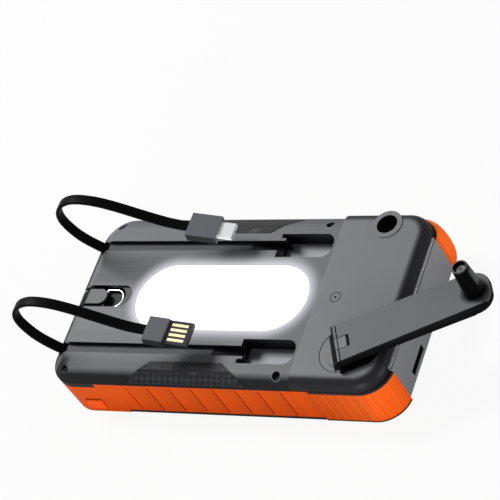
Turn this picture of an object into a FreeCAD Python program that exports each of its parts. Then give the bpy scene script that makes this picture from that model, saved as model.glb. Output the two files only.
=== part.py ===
"""Hand crank power bank with a camping lamp, two captive flat leads and a fold-out crank.

Millimetres.  +X runs along the body towards the crank end, -Y is the long side with the
button, +Z is the lamp side.  The origin is the middle of the resting plane.
"""
import FreeCAD, Part
import Sketcher
import math
import os
import re

V = FreeCAD.Vector

# --------------------------------------------------------------------------------------
# Driving dimensions.  Every size is written once, here, and reaches the pieces by name.
# --------------------------------------------------------------------------------------
SIZES = [
    # body envelope
    ("body_length", 171.8, "over the two end panels"),
    ("body_width", 89.6, "over the two side bumpers"),
    ("body_corner", 13.5, "plan radius of the four corners"),
    ("cover_top", 26.0, "top face of the lamp side"),
    ("seam_height", 22.0, "joint between bumper and top cover"),
    ("base_lift", 0.5, "belly above the resting plane"),
    ("sill_top", 2.2, "top of the black sill under the bumper"),
    ("bumper_thick", 3.0, "rubber bumper on the long sides"),
    ("panel_thick", 2.5, "end panels"),
    ("panel_half", 33.0, "half width of the end panels"),
    ("shell_wall", 1.8, "wall of the lower shell"),
    ("floor_thick", 1.8, "floor of the lower shell"),
    ("cover_thick", 2.0, "plate of the top cover and the crank housing"),
    ("bevel_run", 6.2, "sloped border of the top cover, in plan"),
    ("bevel_drop", 3.8, "sloped border of the top cover, in height"),
    ("bevel_blend", 3.0, "rounding where the slope meets the top face"),
    ("guard_length", 44.0, "corner guard, from the end to its joint with the bumper"),
    ("left_foot_length", 33.9, "left corner foot, from the end"),
    ("left_drop_length", 25.0, "lower stretch of the bumper at the left corner, from the end"),
    ("right_foot_length", 36.9, "right corner foot, from the end"),
    ("left_corner_top", 19.5, "top of the bumper at the left corners"),
    ("right_corner_top", 20.4, "top of the guard at the right corners"),
    ("rib_pitch", 11.4, "pitch of the grooves along the bumper"),
    ("rib_first", 44.1, "first groove, left of the middle"),
    ("rib_number", 8, "grooves along the bumper"),
    ("rib_width", 0.9, "width of a bumper groove"),
    ("rib_depth", 0.5, "depth of a bumper groove"),
    ("corner_rib_step", 17.0, "degrees between the grooves round a corner"),
    ("corner_rib_number", 5, "grooves round a corner"),
    # crank housing
    ("housing_length", 44.6, "crank housing, from the end to its step"),
    ("housing_top", 28.0, "top face of the crank housing"),
    ("housing_inset", 1.2, "housing stands this far inside the end face"),
    ("housing_side_inset", 0.2, "housing stands this far inside the long sides"),
    ("housing_wall", 1.5, "wall of the housing towards the lamp"),
    ("housing_corner", 12.5, "plan radius of the housing"),
    ("housing_round", 5.0, "rounding of the housing's top edge"),
    ("housing_step_round", 0.9, "rounding of the low step towards the lamp"),
    ("housing_margin", 5.2, "cavity edge behind the housing's sides"),
    ("ledge_height", 24.0, "top of the end panel under the housing's rounding"),
    # lamp
    ("lamp_left_gap", 3.25, "cover between the hook recess and the lamp window"),
    ("lamp_right_gap", 5.55, "cover between the lamp window and the crank housing"),
    ("lamp_radius", 17.4, "end radius of the lamp window"),
    ("lens_gap", 0.08, "lens in its window, per side"),
    ("lens_proud", 0.15, "lens above the cover"),
    ("lens_flange", 1.4, "flange round the lens"),
    ("lens_flange_thick", 1.2, "flange thickness"),
    ("reflector_wall", 1.2, "wall of the white reflector frame"),
    ("lamp_board_thick", 1.2, "lamp circuit board"),
    ("led_size", 2.8, "side of one lamp LED"),
    ("led_height", 0.8, "height of one lamp LED"),
    ("led_pitch_x", 9.5, "LED spacing along the lamp"),
    ("led_pitch_y", 11.0, "LED spacing across the lamp"),
    ("led_columns", 7, "LEDs along the lamp"),
    ("led_rows", 3, "LEDs across the lamp"),
    # cable grooves and plug pockets
    ("groove_centre", 27.75, "groove and lead off the middle line"),
    ("groove_width", 5.3, "groove for a flat lead"),
    ("groove_depth", 2.3, "groove below the top face"),
    ("ramp_length", 15.6, "sloping stretch of the groove before the pocket"),
    ("ramp_drop", 3.4, "extra depth where the groove enters the pocket"),
    ("pocket_length", 27.5, "plug pocket, along"),
    ("pocket_end_wall", 2.2, "cover between the pocket and the crank housing"),
    ("pocket_inner", 21.5, "pocket's edge next to the lamp"),
    ("pocket_outer", 34.0, "pocket's outer edge"),
    ("pocket_corner", 5.0, "plan radius of the pocket's right end"),
    ("pocket_depth", 8.0, "pocket below the top face"),
    ("lip_length", 2.5, "lip that reaches into the pocket beside the groove"),
    ("notch_width", 2.3, "finger notch between the lip and the pocket's outer edge"),
    ("tub_wall", 1.2, "walls moulded under the cover round its hollows"),
    # lanyard hook
    ("hook_half", 5.8, "half width of the hook recess"),
    ("hook_length", 30.0, "hook recess, from the end"),
    ("hook_corner_flat", 0.1, "flat left between the recess's two corner arcs"),
    ("hook_depth", 4.0, "recess below the top face"),
    ("scoop_length", 4.2, "shallow finger scoop at the inner end of the recess"),
    ("scoop_depth", 1.4, "finger scoop below the top face"),
    ("tongue_half", 3.9, "half width of the hook tongue"),
    ("tongue_length", 16.1, "hook tongue, from the end"),
    ("tongue_drop", 0.4, "tongue below the top face"),
    ("tongue_inset", 0.4, "tongue behind the end face"),
    ("bail_wire", 1.2, "wire of the lanyard bail"),
    ("bail_half", 4.85, "leg of the bail off the middle line"),
    ("bail_pivot_inset", 13.9, "the bail's pivot, from the end"),
    ("bail_pivot_z", 23.2, "height of the bail's pivot"),
    ("bail_reach", 5.2, "pivot to the middle of the bail's bow"),
    ("bail_hold", 1.3, "depth of the bail's ends in the tongue"),
    ("pivot_gap", 0.08, "radial running gap of small pivots"),
    # grip inlays
    ("inlay_top_left", -31.9, "X, upper left corner of the inlay"),
    ("inlay_top_right", 5.1, "X, upper right corner of the inlay"),
    ("inlay_low_left", -42.9, "X, lower left corner of the inlay"),
    ("inlay_low_right", 18.5, "X, lower right corner of the inlay"),
    ("inlay_inner_inset", 10.4, "inlay's edge on the top face, from the side"),
    ("inlay_outer_inset", 0.8, "inlay's edge near the bumper, from the side"),
    ("inlay_thick", 0.8, "inlay thickness"),
    ("inlay_proud", 0.15, "inlay above the cover"),
    # screws of the case
    ("screw_right_inset", 7.5, "the two right screws, from the crank housing"),
    ("screw_left_inset", 8.7, "the two left screws, from the end"),
    ("screw_side_inset", 5.4, "screws, from the side"),
    ("screw_head", 1.7, "radius of a screw head"),
    ("screw_well", 1.95, "radius of a screw well"),
    ("screw_seat", 22.9, "height of the well's floor"),
    ("screw_head_height", 1.1, "height of a screw head"),
    ("screw_shank", 0.95, "radius of a screw shank"),
    ("screw_length", 9.0, "shank length"),
    ("post_radius", 2.4, "screw post in the lower shell"),
    # ends
    ("slot_left", -24.0, "end panel slot, start along Y"),
    ("slot_right", -10.0, "end panel slot, end along Y"),
    ("slot_low", 4.2, "end panel slot, bottom"),
    ("slot_high", 7.6, "end panel slot, top"),
    ("slot_depth", 1.5, "end panel slot, depth"),
    ("flap_half", 26.6, "half width of the port flap"),
    ("flap_low", 3.4, "bottom of the port flap"),
    ("flap_high", 15.0, "top of the port flap"),
    ("flap_thick", 1.4, "port flap"),
    ("flap_gap", 0.3, "round the port flap"),
    ("flap_pin", 0.45, "radius of the flap's hinge pins"),
    ("flap_pin_length", 0.7, "hinge pin in the panel"),
    ("socket_spacing", 17.0, "from the round socket in the middle to the wide ones"),
    ("socket_a_width", 13.2, "wide socket shell, across"),
    ("socket_a_height", 5.8, "wide socket shell, high"),
    ("socket_c_width", 9.0, "small socket shell, across"),
    ("socket_c_height", 3.3, "small socket shell, high"),
    ("socket_depth", 13.0, "sockets, front to back"),
    ("socket_sheet", 0.35, "sheet metal of the sockets"),
    ("socket_tongue", 1.8, "insulator in the wide socket"),
    ("port_gap", 0.15, "round a socket in the panel"),
    # boards and cells
    ("finger_half", 6.0, "half width of the finger notch over the flap"),
    ("board_thick", 1.2, "main circuit board"),
    ("board_height", 3.6, "underside of the main board"),
    ("board_reach", 21.9, "the main board's inner edge, from the end"),
    ("board_margin", 0.4, "main board to the shell's wall"),
    ("standoff_radius", 2.0, "posts under the main board"),
    ("cell_board_gap", 3.0, "cells to the main board"),
    ("cell_housing_gap", 3.3, "cells to the crank housing"),
    ("cell_width", 66.0, "battery cell, across"),
    ("cell_thick", 7.0, "battery cell"),
    ("cell_edge", 2.0, "rounding of a battery pouch"),
    ("foam_thick", 1.7, "foam between the cells and the lamp board"),
    ("foam_width", 30.0, "foam, across"),
    ("foam_length", 80.0, "foam, along"),
    ("solar_length", 148.0, "solar panel, along"),
    ("solar_width", 70.0, "solar panel, across"),
    ("solar_thick", 1.0, "solar panel"),
    ("solar_inset", 0.1, "solar panel behind the belly"),
    ("rest_bar", 6.0, "bar across the belly, level with the feet"),
    # power button
    ("button_inset", 18.5, "middle of the button, from the end"),
    ("button_length", 8.8, "button cap, along"),
    ("button_height", 6.6, "button cap, high"),
    ("button_proud", 0.9, "button cap in front of the bumper"),
    ("button_gap", 0.2, "round the button"),
    ("button_flange", 1.2, "flange round the button"),
    ("button_flange_thick", 0.6, "flange thickness"),
    ("button_pocket", 1.6, "pocket behind the bumper for the flange"),
    ("button_stem", 1.2, "radius of the button's stem"),
    ("button_stem_end", 40.7, "end of the stem, off the middle line"),
    ("button_travel", 0.8, "travel of the button"),
    ("switch_length", 6.0, "tact switch, along"),
    ("switch_depth", 4.4, "tact switch, front to back"),
    ("switch_height", 3.4, "tact switch, high"),
    ("switch_slack", 0.1, "pressed stem to the switch"),
    # crank, turning about the vertical axis at crank_x, crank_y
    ("crank_inset", 22.1, "crank axis, from the end"),
    ("crank_side_inset", 17.6, "crank axis, from the button side"),
    ("stow_side_inset", 7.6, "middle of the stowing hole, from the other side"),
    ("crank_angle", 26.2, "degrees from +X to the crank arm"),
    ("disc_radius", 11.3, "crank disc"),
    ("disc_thick", 2.4, "crank disc"),
    ("disc_gap", 0.2, "round the crank disc"),
    ("riser_radius", 9.0, "riser on the disc, under the arm"),
    ("riser_gap", 0.2, "riser to the arm"),
    ("hub_radius", 3.4, "hub of the crank disc"),
    ("bush_gap", 0.05, "hub in its bush"),
    ("bush_wall", 1.5, "bush wall"),
    ("boss_wall", 1.7, "boss round the disc's seat"),
    ("boss_depth", 3.4, "boss under the housing plate"),
    ("shaft_radius", 2.2, "crank shaft"),
    ("shaft_top", 26.8, "upper end of the crank shaft"),
    ("stub_radius", 1.4, "lower end of the crank shaft"),
    ("arm_thick", 2.8, "crank arm"),
    ("arm_half", 10.2, "half width of the crank arm"),
    ("arm_gap", 2.2, "crank arm above the housing"),
    ("hinge_back", 1.7, "hinge axis behind the crank axis"),
    ("hinge_pin_radius", 0.75, "hinge pin"),
    ("hinge_pin_inset", 0.8, "pin ends inside the arm's sides"),
    ("strip_line", 1.1, "line across the arm in front of the hinge axis"),
    ("lug_half", 2.9, "half width of the disc's hinge lug"),
    ("lug_front", 5.9, "hinge axis to the lug's front"),
    ("notch_gap", 0.35, "arm's notch round the lug"),
    ("carrier_half", 9.9, "half width of the rounded end that carries the knob"),
    ("carrier_corner", 7.6, "plan radius of that end"),
    ("carrier_reach", 6.9, "rounded end beyond the knob axis"),
    ("carrier_start", 1.9, "rounded end starts this far before the knob axis"),
    ("carrier_tongue", 6.0, "tongue of the rounded end under the arm"),
    ("carrier_tongue_half", 7.0, "half width of that tongue"),
    ("carrier_round", 0.9, "rounding of that end's upper edge"),
    ("knob_base", 4.6, "knob radius at its foot"),
    ("knob_tip", 3.5, "knob radius at its tip"),
    ("knob_length", 16.8, "knob"),
    ("knob_gap", 0.2, "knob above the arm"),
    ("knob_screw_radius", 1.5, "shoulder screw of the knob"),
    ("knob_screw_head", 2.3, "head of that screw"),
    ("knob_well", 2.8, "radius of the hollow in the knob's tip"),
    ("knob_well_depth", 3.0, "depth of that hollow"),
    ("stow_gap", 0.2, "knob in its stowing hole, per side"),
    ("stow_wall", 1.0, "wall of the stowing tube"),
    ("stow_floor", 0.7, "space below the stowed knob"),
    ("collar_radius", 7.0, "collar round the stowing hole"),
    ("collar_proud", 0.5, "collar above the housing"),
    # gear train
    ("gear_module", 0.6, "module of all gears"),
    ("wheel_teeth", 36, "teeth of a wheel"),
    ("pinion_teeth", 12, "teeth of a pinion"),
    ("pressure_angle", 20.0, "degrees"),
    ("backlash", 0.16, "taken off every tooth"),
    ("tooth_root", 1.25, "root depth in modules"),
    ("tooth_bury", 0.15, "tooth foot inside the rim"),
    ("gear_face", 2.0, "width of a gear"),
    ("gear_layer", 3.8, "height from one gear layer to the next"),
    ("train_top", 20.0, "underside of the drive gear"),
    ("gear_hub", 3.6, "hub of the drive gear"),
    ("gear_hub_lip", 0.2, "hub above the drive gear"),
    ("idler_hub", 4.4, "hub of an idler under its pinion"),
    ("gear_web", 1.1, "web of a wheel"),
    ("gear_rim", 1.5, "rim of a wheel inside its tooth roots"),
    ("axle_radius", 1.0, "fixed axles of the idlers"),
    ("axle_gap", 0.05, "idler on its axle"),
    ("axle_boss", 2.2, "boss round an axle"),
    ("axle_seat_gap", 0.6, "idler to the boss above it"),
    ("axle_top", 24.4, "upper end of the axles"),
    ("plate_height", 10.8, "underside of the gear plate"),
    ("plate_thick", 1.4, "gear plate"),
    ("plate_left_reach", 15.8, "gear plate, left of the gear axes"),
    ("plate_right_reach", 15.2, "gear plate, right of the gear axes"),
    ("plate_front_reach", 11.2, "gear plate, in front of the crank axis"),
    ("plate_rear_reach", 11.8, "gear plate, behind the generator's axis"),
    ("plate_leg", 2.4, "radius of the plate's legs"),
    ("gear_screw", 0.8, "radius of a gearbox screw"),
    ("leg_inset", 2.9, "legs inside the plate's edges"),
    ("generator_radius", 11.6, "generator case"),
    ("generator_height", 7.9, "generator case"),
    ("generator_shaft", 0.9, "generator shaft"),
    ("generator_wall", 1.0, "generator case wall"),
    ("rotor_gap", 0.5, "rotor inside its case"),
    # leads: flat, one per long side
    ("lead_width", 4.8, "flat lead, across"),
    ("lead_thick", 1.6, "flat lead"),
    ("lead_exit_inset", 2.4, "where a lead leaves the body, from the end"),
    ("lead_exit_z", 24.3, "where a lead leaves the body"),
    ("grommet_length", 1.9, "rubber grommet along the lead"),
    ("grommet_lip", 0.5, "grommet round the lead"),
    ("front_plug_x", -27.9, "where the front lead enters its plug"),
    ("front_plug_z", 40.7, "where the front lead enters its plug"),
    ("rear_plug_x", -27.0, "where the rear lead enters its plug"),
    ("rear_plug_z", 40.5, "where the rear lead enters its plug"),
    ("plug_tilt", 12.0, "degrees, plugs nose down"),
    ("overmould_width", 12.4, "plug bodies, across"),
    ("overmould_a_length", 9.2, "front plug body"),
    ("overmould_c_length", 14.2, "rear plug body"),
    ("overmould_thick", 4.8, "plug bodies"),
    ("overmould_round", 0.7, "rounding of the plug bodies"),
    ("tongue_a_length", 11.3, "front plug's contact tongue"),
    ("tongue_a_width", 12.0, "front plug's contact tongue"),
    ("tongue_a_thick", 2.3, "front plug's contact tongue"),
    ("contact_number", 4, "contacts on the tongue"),
    ("contact_pitch", 2.5, "contact spacing"),
    ("contact_width", 1.3, "contact"),
    ("contact_length", 7.6, "contact"),
    ("contact_start", 1.9, "contact from the plug body"),
    ("contact_thick", 0.15, "contact"),
    ("shell_c_width", 8.4, "rear plug's metal shell"),
    ("shell_c_height", 2.6, "rear plug's metal shell"),
    ("shell_c_length", 7.0, "rear plug's metal shell"),
    ("shell_c_sheet", 0.4, "sheet of the metal shell"),
]

# The free run of a lead between its exit and its plug, as (X, Z) corners.
LEAD_ROUTE = [
    (-90.3, 31.1),
    (-93.9, 43.2),
    (-93.2, 50.8),
    (-89.3, 57.0),
    (-83.0, 60.9),
    (-75.7, 61.8),
    (-63.5, 58.6),
    (-43.0, 46.4),
]
LAST_RUN = 6.5        # straight run of a lead into its plug
ARC_SHARE = 0.45      # share of the shorter run that an arc's tangent takes

# Places that follow from the sizes, by the name that expressions use for them.
PLACES = {
    "left_foot_edge": "(body_length / 2 - left_foot_length)",
    "left_top_edge": "(body_length / 2 - left_drop_length)",
    "right_foot_edge": "(body_length / 2 - right_foot_length)",
    "guard_seam": "(body_length / 2 - guard_length)",
    "housing_left": "(body_length / 2 - housing_length)",
    "lamp_start": "(hook_right + lamp_left_gap + lamp_radius)",
    "lamp_stop": "(housing_left - lamp_right_gap - lamp_radius)",
    "lamp_x": "((lamp_start + lamp_stop) / 2)",
    "lamp_half_straight": "((lamp_stop - lamp_start) / 2)",
    "pocket_right": "(housing_left - pocket_end_wall)",
    "pocket_left": "(pocket_right - pocket_length)",
    "ramp_start": "(pocket_left - ramp_length)",
    "hook_right": "(hook_length - body_length / 2)",
    "hook_corner": "(hook_half - hook_corner_flat)",
    "tongue_right": "(tongue_length - body_length / 2)",
    "tongue_corner": "(tongue_half - hook_corner_flat)",
    "bail_pivot_x": "(bail_pivot_inset - body_length / 2)",
    "bail_centre_x": "(bail_pivot_x + bail_reach)",
    "bail_corner": "(bail_half - hook_corner_flat)",
    "inlay_inner": "(body_width / 2 - inlay_inner_inset)",
    "inlay_outer": "(body_width / 2 - inlay_outer_inset)",
    "screw_right_x": "(housing_left - screw_right_inset)",
    "screw_left_x": "(screw_left_inset - body_length / 2)",
    "screw_y": "(body_width / 2 - screw_side_inset)",
    "board_right": "(board_reach - body_length / 2)",
    "cell_left": "(board_right + cell_board_gap)",
    "cell_right": "(housing_left - cell_housing_gap)",
    "button_x": "(button_inset - body_length / 2)",
    "crank_x": "(body_length / 2 - crank_inset)",
    "crank_y": "(crank_side_inset - body_width / 2)",
    "stow_y": "(body_width / 2 - stow_side_inset)",
    "arm_reach": "(stow_y - crank_y - hinge_back)",
    "plate_left": "(crank_x - plate_left_reach)",
    "plate_right": "(crank_x + plate_right_reach)",
    "plate_front": "(crank_y - plate_front_reach)",
    "plate_rear": "(crank_y + 3 * gear_step + plate_rear_reach)",
    "gear_step": "(gear_module * (wheel_teeth + pinion_teeth) / 2)",
    "lead_exit_x": "(lead_exit_inset - body_length / 2)",
}

doc = FreeCAD.newDocument("crank_power_bank")
sheet = doc.addObject("Spreadsheet::Sheet", "Sizes")
for row, (alias, value, note) in enumerate(SIZES, start=1):
    sheet.set(f"A{row}", alias)
    sheet.set(f"B{row}", str(value))
    sheet.setAlias(f"B{row}", alias)
    sheet.set(f"C{row}", note)
doc.recompute()
NAMES = {alias for alias, value, note in SIZES}


# --------------------------------------------------------------------------------------
# Helpers: expressions, sketches and features
# --------------------------------------------------------------------------------------
def spelled_out(text):
    """Put a place's own expression where its name stands."""
    longer = re.sub(r"[a-z_]+", lambda m: PLACES.get(m[0], m[0]), str(text))
    return longer if longer == text else spelled_out(longer)


def sized(text):
    """Turn 'body_length / 2' into 'Sizes.body_length / 2'."""
    return re.sub(r"[a-z_]+", lambda m: "Sizes." + m[0] if m[0] in NAMES else m[0],
                  spelled_out(text))


def number(text):
    """The present value of an expression, in millimetres or degrees."""
    value = sheet.evalExpression(spelled_out(text))
    return float(getattr(value, "Value", value))


def new_body(label, x="0", y="0", z="0", turn="0", about=V(0, 0, 1)):
    """A body whose own frame stands at x, y, z and is turned about one axis."""
    body = doc.addObject("PartDesign::Body", label)
    body.Label = label
    body.Placement = FreeCAD.Placement(V(0, 0, 0), FreeCAD.Rotation(about, 1))
    for path, text in (("Base.x", x), ("Base.y", y), ("Base.z", z), ("Rotation.Angle", turn)):
        body.setExpression("Placement." + path, sized(text))
    return body


def new_sketch(body, plane, offset):
    """A sketch on one of the body's own planes, moved along that plane's normal."""
    sketch = body.newObject("Sketcher::SketchObject", body.Name + "_sketch")
    support = [item for item in body.Origin.OriginFeatures if item.Role == plane][0]
    sketch.AttachmentSupport = [(support, "")]
    sketch.MapMode = "FlatFace"
    sketch.setExpression("AttachmentOffset.Base.z", sized(offset))
    return sketch


def hold(sketch, kind, *where, size):
    """Add a driving constraint and bind it to an expression."""
    index = sketch.addConstraint(Sketcher.Constraint(kind, *where, number(size)))
    sketch.setExpression(f"Constraints[{index}]", sized(size))


def place_point(sketch, geometry, point, x, y):
    hold(sketch, "DistanceX", -1, 1, geometry, point, size=x)
    hold(sketch, "DistanceY", -1, 1, geometry, point, size=y)


def circle(x, y, radius):
    """A full circle."""
    def draw(sketch):
        centre = V(number(x), number(y), 0)
        shape = sketch.addGeometry(Part.Circle(centre, V(0, 0, 1), number(radius)))
        place_point(sketch, shape, 3, x, y)
        hold(sketch, "Radius", shape, size=radius)
    return draw


def polygon(*corners):
    """A closed outline; a corner is (x, y) or (x, y, radius)."""
    return lambda sketch: draw_corners(sketch, corners, closed=True)


def open_path(*corners):
    """An open path through corners; only its inner corners may carry a radius."""
    return lambda sketch: draw_corners(sketch, corners, closed=False)


def draw_corners(sketch, corners, closed):
    """Straight sides and tangent arcs, each corner held by its own pair of distances."""
    count = len(corners)
    points = [V(number(c[0]), number(c[1]), 0) for c in corners]
    bends = []
    for i, corner in enumerate(corners):
        if len(corner) == 2:
            bends.append((points[i], points[i], None))
            continue
        back = (points[i - 1] - points[i]).normalize()
        ahead = (points[(i + 1) % count] - points[i]).normalize()
        radius = number(corner[2])
        half = back.getAngle(ahead) / 2
        reach = radius / math.tan(half)
        middle = points[i] + (back + ahead).normalize() * (radius / math.sin(half))
        bends.append((points[i] + back * reach, points[i] + ahead * reach, (middle, radius)))
    sides = []
    for i in range(count if closed else count - 1):
        start = bends[i][1]
        stop = bends[(i + 1) % count][0]
        sides.append(sketch.addGeometry(Part.LineSegment(start, stop)))
    if not closed:
        place_point(sketch, sides[0], 1, corners[0][0], corners[0][1])
        place_point(sketch, sides[-1], 2, corners[-1][0], corners[-1][1])
    for i in range(count) if closed else range(1, count - 1):
        corner = corners[i]
        before = sides[i - 1]
        after = sides[i]
        if bends[i][2] is None:
            sketch.addConstraint(Sketcher.Constraint("Coincident", before, 2, after, 1))
            place_point(sketch, after, 1, corner[0], corner[1])
            continue
        middle, radius = bends[i][2]
        first = bends[i][0] - middle
        last = bends[i][1] - middle
        left_turn = first.cross(last).z > 0
        begin, end = (first, last) if left_turn else (last, first)
        base = Part.Circle(middle, V(0, 0, 1), radius)
        arc = sketch.addGeometry(Part.ArcOfCircle(
            base, math.atan2(begin.y, begin.x), math.atan2(end.y, end.x)))
        tip = sketch.addGeometry(Part.Point(points[i]), True)
        place_point(sketch, tip, 1, corner[0], corner[1])
        sketch.addConstraint(Sketcher.Constraint("PointOnObject", tip, 1, before))
        sketch.addConstraint(Sketcher.Constraint("PointOnObject", tip, 1, after))
        near_end, far_end = (1, 2) if left_turn else (2, 1)
        sketch.addConstraint(Sketcher.Constraint("Tangent", before, 2, arc, near_end))
        sketch.addConstraint(Sketcher.Constraint("Tangent", after, 1, arc, far_end))
        hold(sketch, "Radius", arc, size=corner[2])


def rectangle(x0, x1, y0, y1, radius=None):
    extra = () if radius is None else (radius,)
    return polygon((x0, y0) + extra, (x1, y0) + extra, (x1, y1) + extra, (x0, y1) + extra)


def stadium(x, half_straight, radius):
    """A slot along X with round ends."""
    def draw(sketch):
        middle, straight, r = number(x), number(half_straight), number(radius)
        up = Part.Circle(V(middle + straight, 0, 0), V(0, 0, 1), r)
        down = Part.Circle(V(middle - straight, 0, 0), V(0, 0, 1), r)
        right = sketch.addGeometry(Part.ArcOfCircle(up, -math.pi / 2, math.pi / 2))
        left = sketch.addGeometry(Part.ArcOfCircle(down, math.pi / 2, 3 * math.pi / 2))
        top = sketch.addGeometry(Part.LineSegment(
            V(middle + straight, r, 0), V(middle - straight, r, 0)))
        bottom = sketch.addGeometry(Part.LineSegment(
            V(middle - straight, -r, 0), V(middle + straight, -r, 0)))
        for one, end_a, two, end_b in ((right, 2, top, 1), (top, 2, left, 1),
                                       (left, 2, bottom, 1), (bottom, 2, right, 1)):
            sketch.addConstraint(Sketcher.Constraint("Tangent", one, end_a, two, end_b))
        hold(sketch, "Radius", right, size=radius)
        place_point(sketch, right, 3, f"{x} + {half_straight}", "0")
        place_point(sketch, left, 3, f"{x} - {half_straight}", "0")
    return draw


# An axis letter gives the sketch plane; a sketch on XZ faces -Y, so its offset is mirrored.
PLANES = {"x": "YZ_Plane", "y": "XZ_Plane", "z": "XY_Plane"}


def prism(body, axis, drawings, low, high, cut=False):
    """Pad, or with cut a Pocket, of outlines between two heights along an axis."""
    sketch = new_sketch(body, PLANES[axis], f"-({high})" if axis == "y" else low)
    for draw in drawings:
        draw(sketch)
    kind = "Pocket" if cut else "Pad"
    feature = body.newObject("PartDesign::" + kind, body.Name + "_" + kind.lower())
    feature.Profile = sketch
    feature.setExpression("Length", sized(f"({high}) - ({low})"))
    feature.Reversed = cut
    sketch.Visibility = False
    return feature


def turned(body, corners, cut=False):
    """Revolution, or with cut a Groove, of an (r, z) outline about the body's Z axis."""
    sketch = new_sketch(body, "XZ_Plane", "0")
    polygon(*corners)(sketch)
    kind = "Groove" if cut else "Revolution"
    feature = body.newObject("PartDesign::" + kind, body.Name + "_" + kind.lower())
    feature.Profile = sketch
    feature.ReferenceAxis = (sketch, ["V_Axis"])
    feature.Angle = 360
    return feature


def pattern(body, feature, kind, axis, **settings):
    """Linear or polar pattern of one feature, made the body's tip."""
    direction = [item for item in body.Origin.OriginFeatures if item.Role == axis][0]
    copies = body.newObject("PartDesign::" + kind, body.Name + "_pattern")
    copies.Originals = [feature]
    if kind == "PolarPattern":
        copies.Axis = (direction, [""])
    else:
        copies.Direction = (direction, [""])
    for key, text in settings.items():
        copies.setExpression(key, sized(text))
    body.Tip = copies
    return copies


def chosen_edges(body, test):
    """Names of the tip's edges whose points all pass a test."""
    doc.recompute()
    names = []
    for index, edge in enumerate(body.Tip.Shape.Edges, start=1):
        points = edge.discretize(5)
        if all(test(p) for p in points):
            names.append(f"Edge{index}")
    if not names:
        raise RuntimeError(f"no edge chosen on {body.Label}")
    return names


def round_edges(body, radius, test):
    names = chosen_edges(body, test)
    base = body.Tip
    feature = body.newObject("PartDesign::Fillet", body.Name + "_fillet")
    feature.Base = (base, names)
    feature.setExpression("Radius", sized(radius))
    body.Tip = feature
    return feature


def near(a, text, slack=0.02):
    return abs(a - number(text)) < slack


# Expressions that many pieces share
HALF_L = "(body_length / 2)"
HALF_W = "(body_width / 2)"
CORE_L = "(body_length / 2 - panel_thick)"
CORE_W = "(body_width / 2 - bumper_thick)"
CORE_CORNER = "(body_corner - bumper_thick)"
ROOM_L = "(body_length / 2 - panel_thick - shell_wall)"
ROOM_W = "(body_width / 2 - bumper_thick - shell_wall)"
ROOM_CORNER = "(body_corner - bumper_thick - shell_wall)"
FLOOR = "(base_lift + floor_thick)"
COVER_UNDER = "(cover_top - cover_thick)"
HOUSING_UNDER = "(housing_top - cover_thick)"
HOUSING_HALF = "(body_width / 2 - housing_side_inset)"
HOUSING_END = "(body_length / 2 - housing_inset)"
OVER = "(housing_top + 5)"                    # safely above every cut
BEYOND = "(body_length / 2 + 5)"
ARM_LOW = "(housing_top + arm_gap)"
ARM_HIGH = "(housing_top + arm_gap + arm_thick)"
HINGE_Z = "(housing_top + arm_gap + arm_thick / 2)"
KNOB_S = "(arm_reach - hinge_back)"
STOW_R = "(knob_base + stow_gap)"
KNOB_LOW = f"({ARM_HIGH} + knob_gap)"
KNOB_HIGH = f"({ARM_HIGH} + knob_gap + knob_length)"
STOW_Z = f"(2 * {HINGE_Z} - {KNOB_HIGH} - stow_floor)"
TRAIN_Y = ["crank_y", "(crank_y + gear_step)", "(crank_y + 2 * gear_step)",
           "(crank_y + 3 * gear_step)"]
LAYER = ["train_top", "(train_top - gear_layer)", "(train_top - 2 * gear_layer)"]
PLATE_TOP = "(plate_height + plate_thick)"
BOSS_LOW = f"({HOUSING_UNDER} - boss_depth)"
DISC_LOW = "(housing_top - disc_thick)"
BOARD_TOP = "(board_height + board_thick)"
BUTTON_Z = f"({BOARD_TOP} + switch_height / 2)"
CELLS_TOP = f"({FLOOR} + 2 * cell_thick)"
LAMP_BOARD_LOW = f"({CELLS_TOP} + foam_thick)"
LAMP_BOARD_TOP = f"({CELLS_TOP} + foam_thick + lamp_board_thick)"
LENS_FLANGE_LOW = f"({COVER_UNDER} - lens_flange_thick)"
GROOVE_FLOOR = "(cover_top - groove_depth)"
POCKET_FLOOR = "(cover_top - pocket_depth)"
HOOK_FLOOR = "(cover_top - hook_depth)"
SCOOP_FLOOR = "(cover_top - scoop_depth)"
SCREWS = [("screw_right_x", "screw_y"), ("screw_right_x", "-screw_y"),
          ("screw_left_x", "screw_y"), ("screw_left_x", "-screw_y")]
SIDES = ("-", "")                              # front is -Y, rear is +Y


def mirrored(side, inner, outer):
    """A Y interval on the front or the rear side."""
    return (f"-({outer})", f"-({inner})") if side else (inner, outer)


# --------------------------------------------------------------------------------------
# Case
# --------------------------------------------------------------------------------------
def solar_panes():
    """Outlines of the solar panel's two panes, left and right of the bar on the belly."""
    ends = (("-solar_length / 2", "-rest_bar / 2"), ("rest_bar / 2", "solar_length / 2"))
    return [rectangle(a, b, "-solar_width / 2", "solar_width / 2", "2") for a, b in ends]


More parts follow.
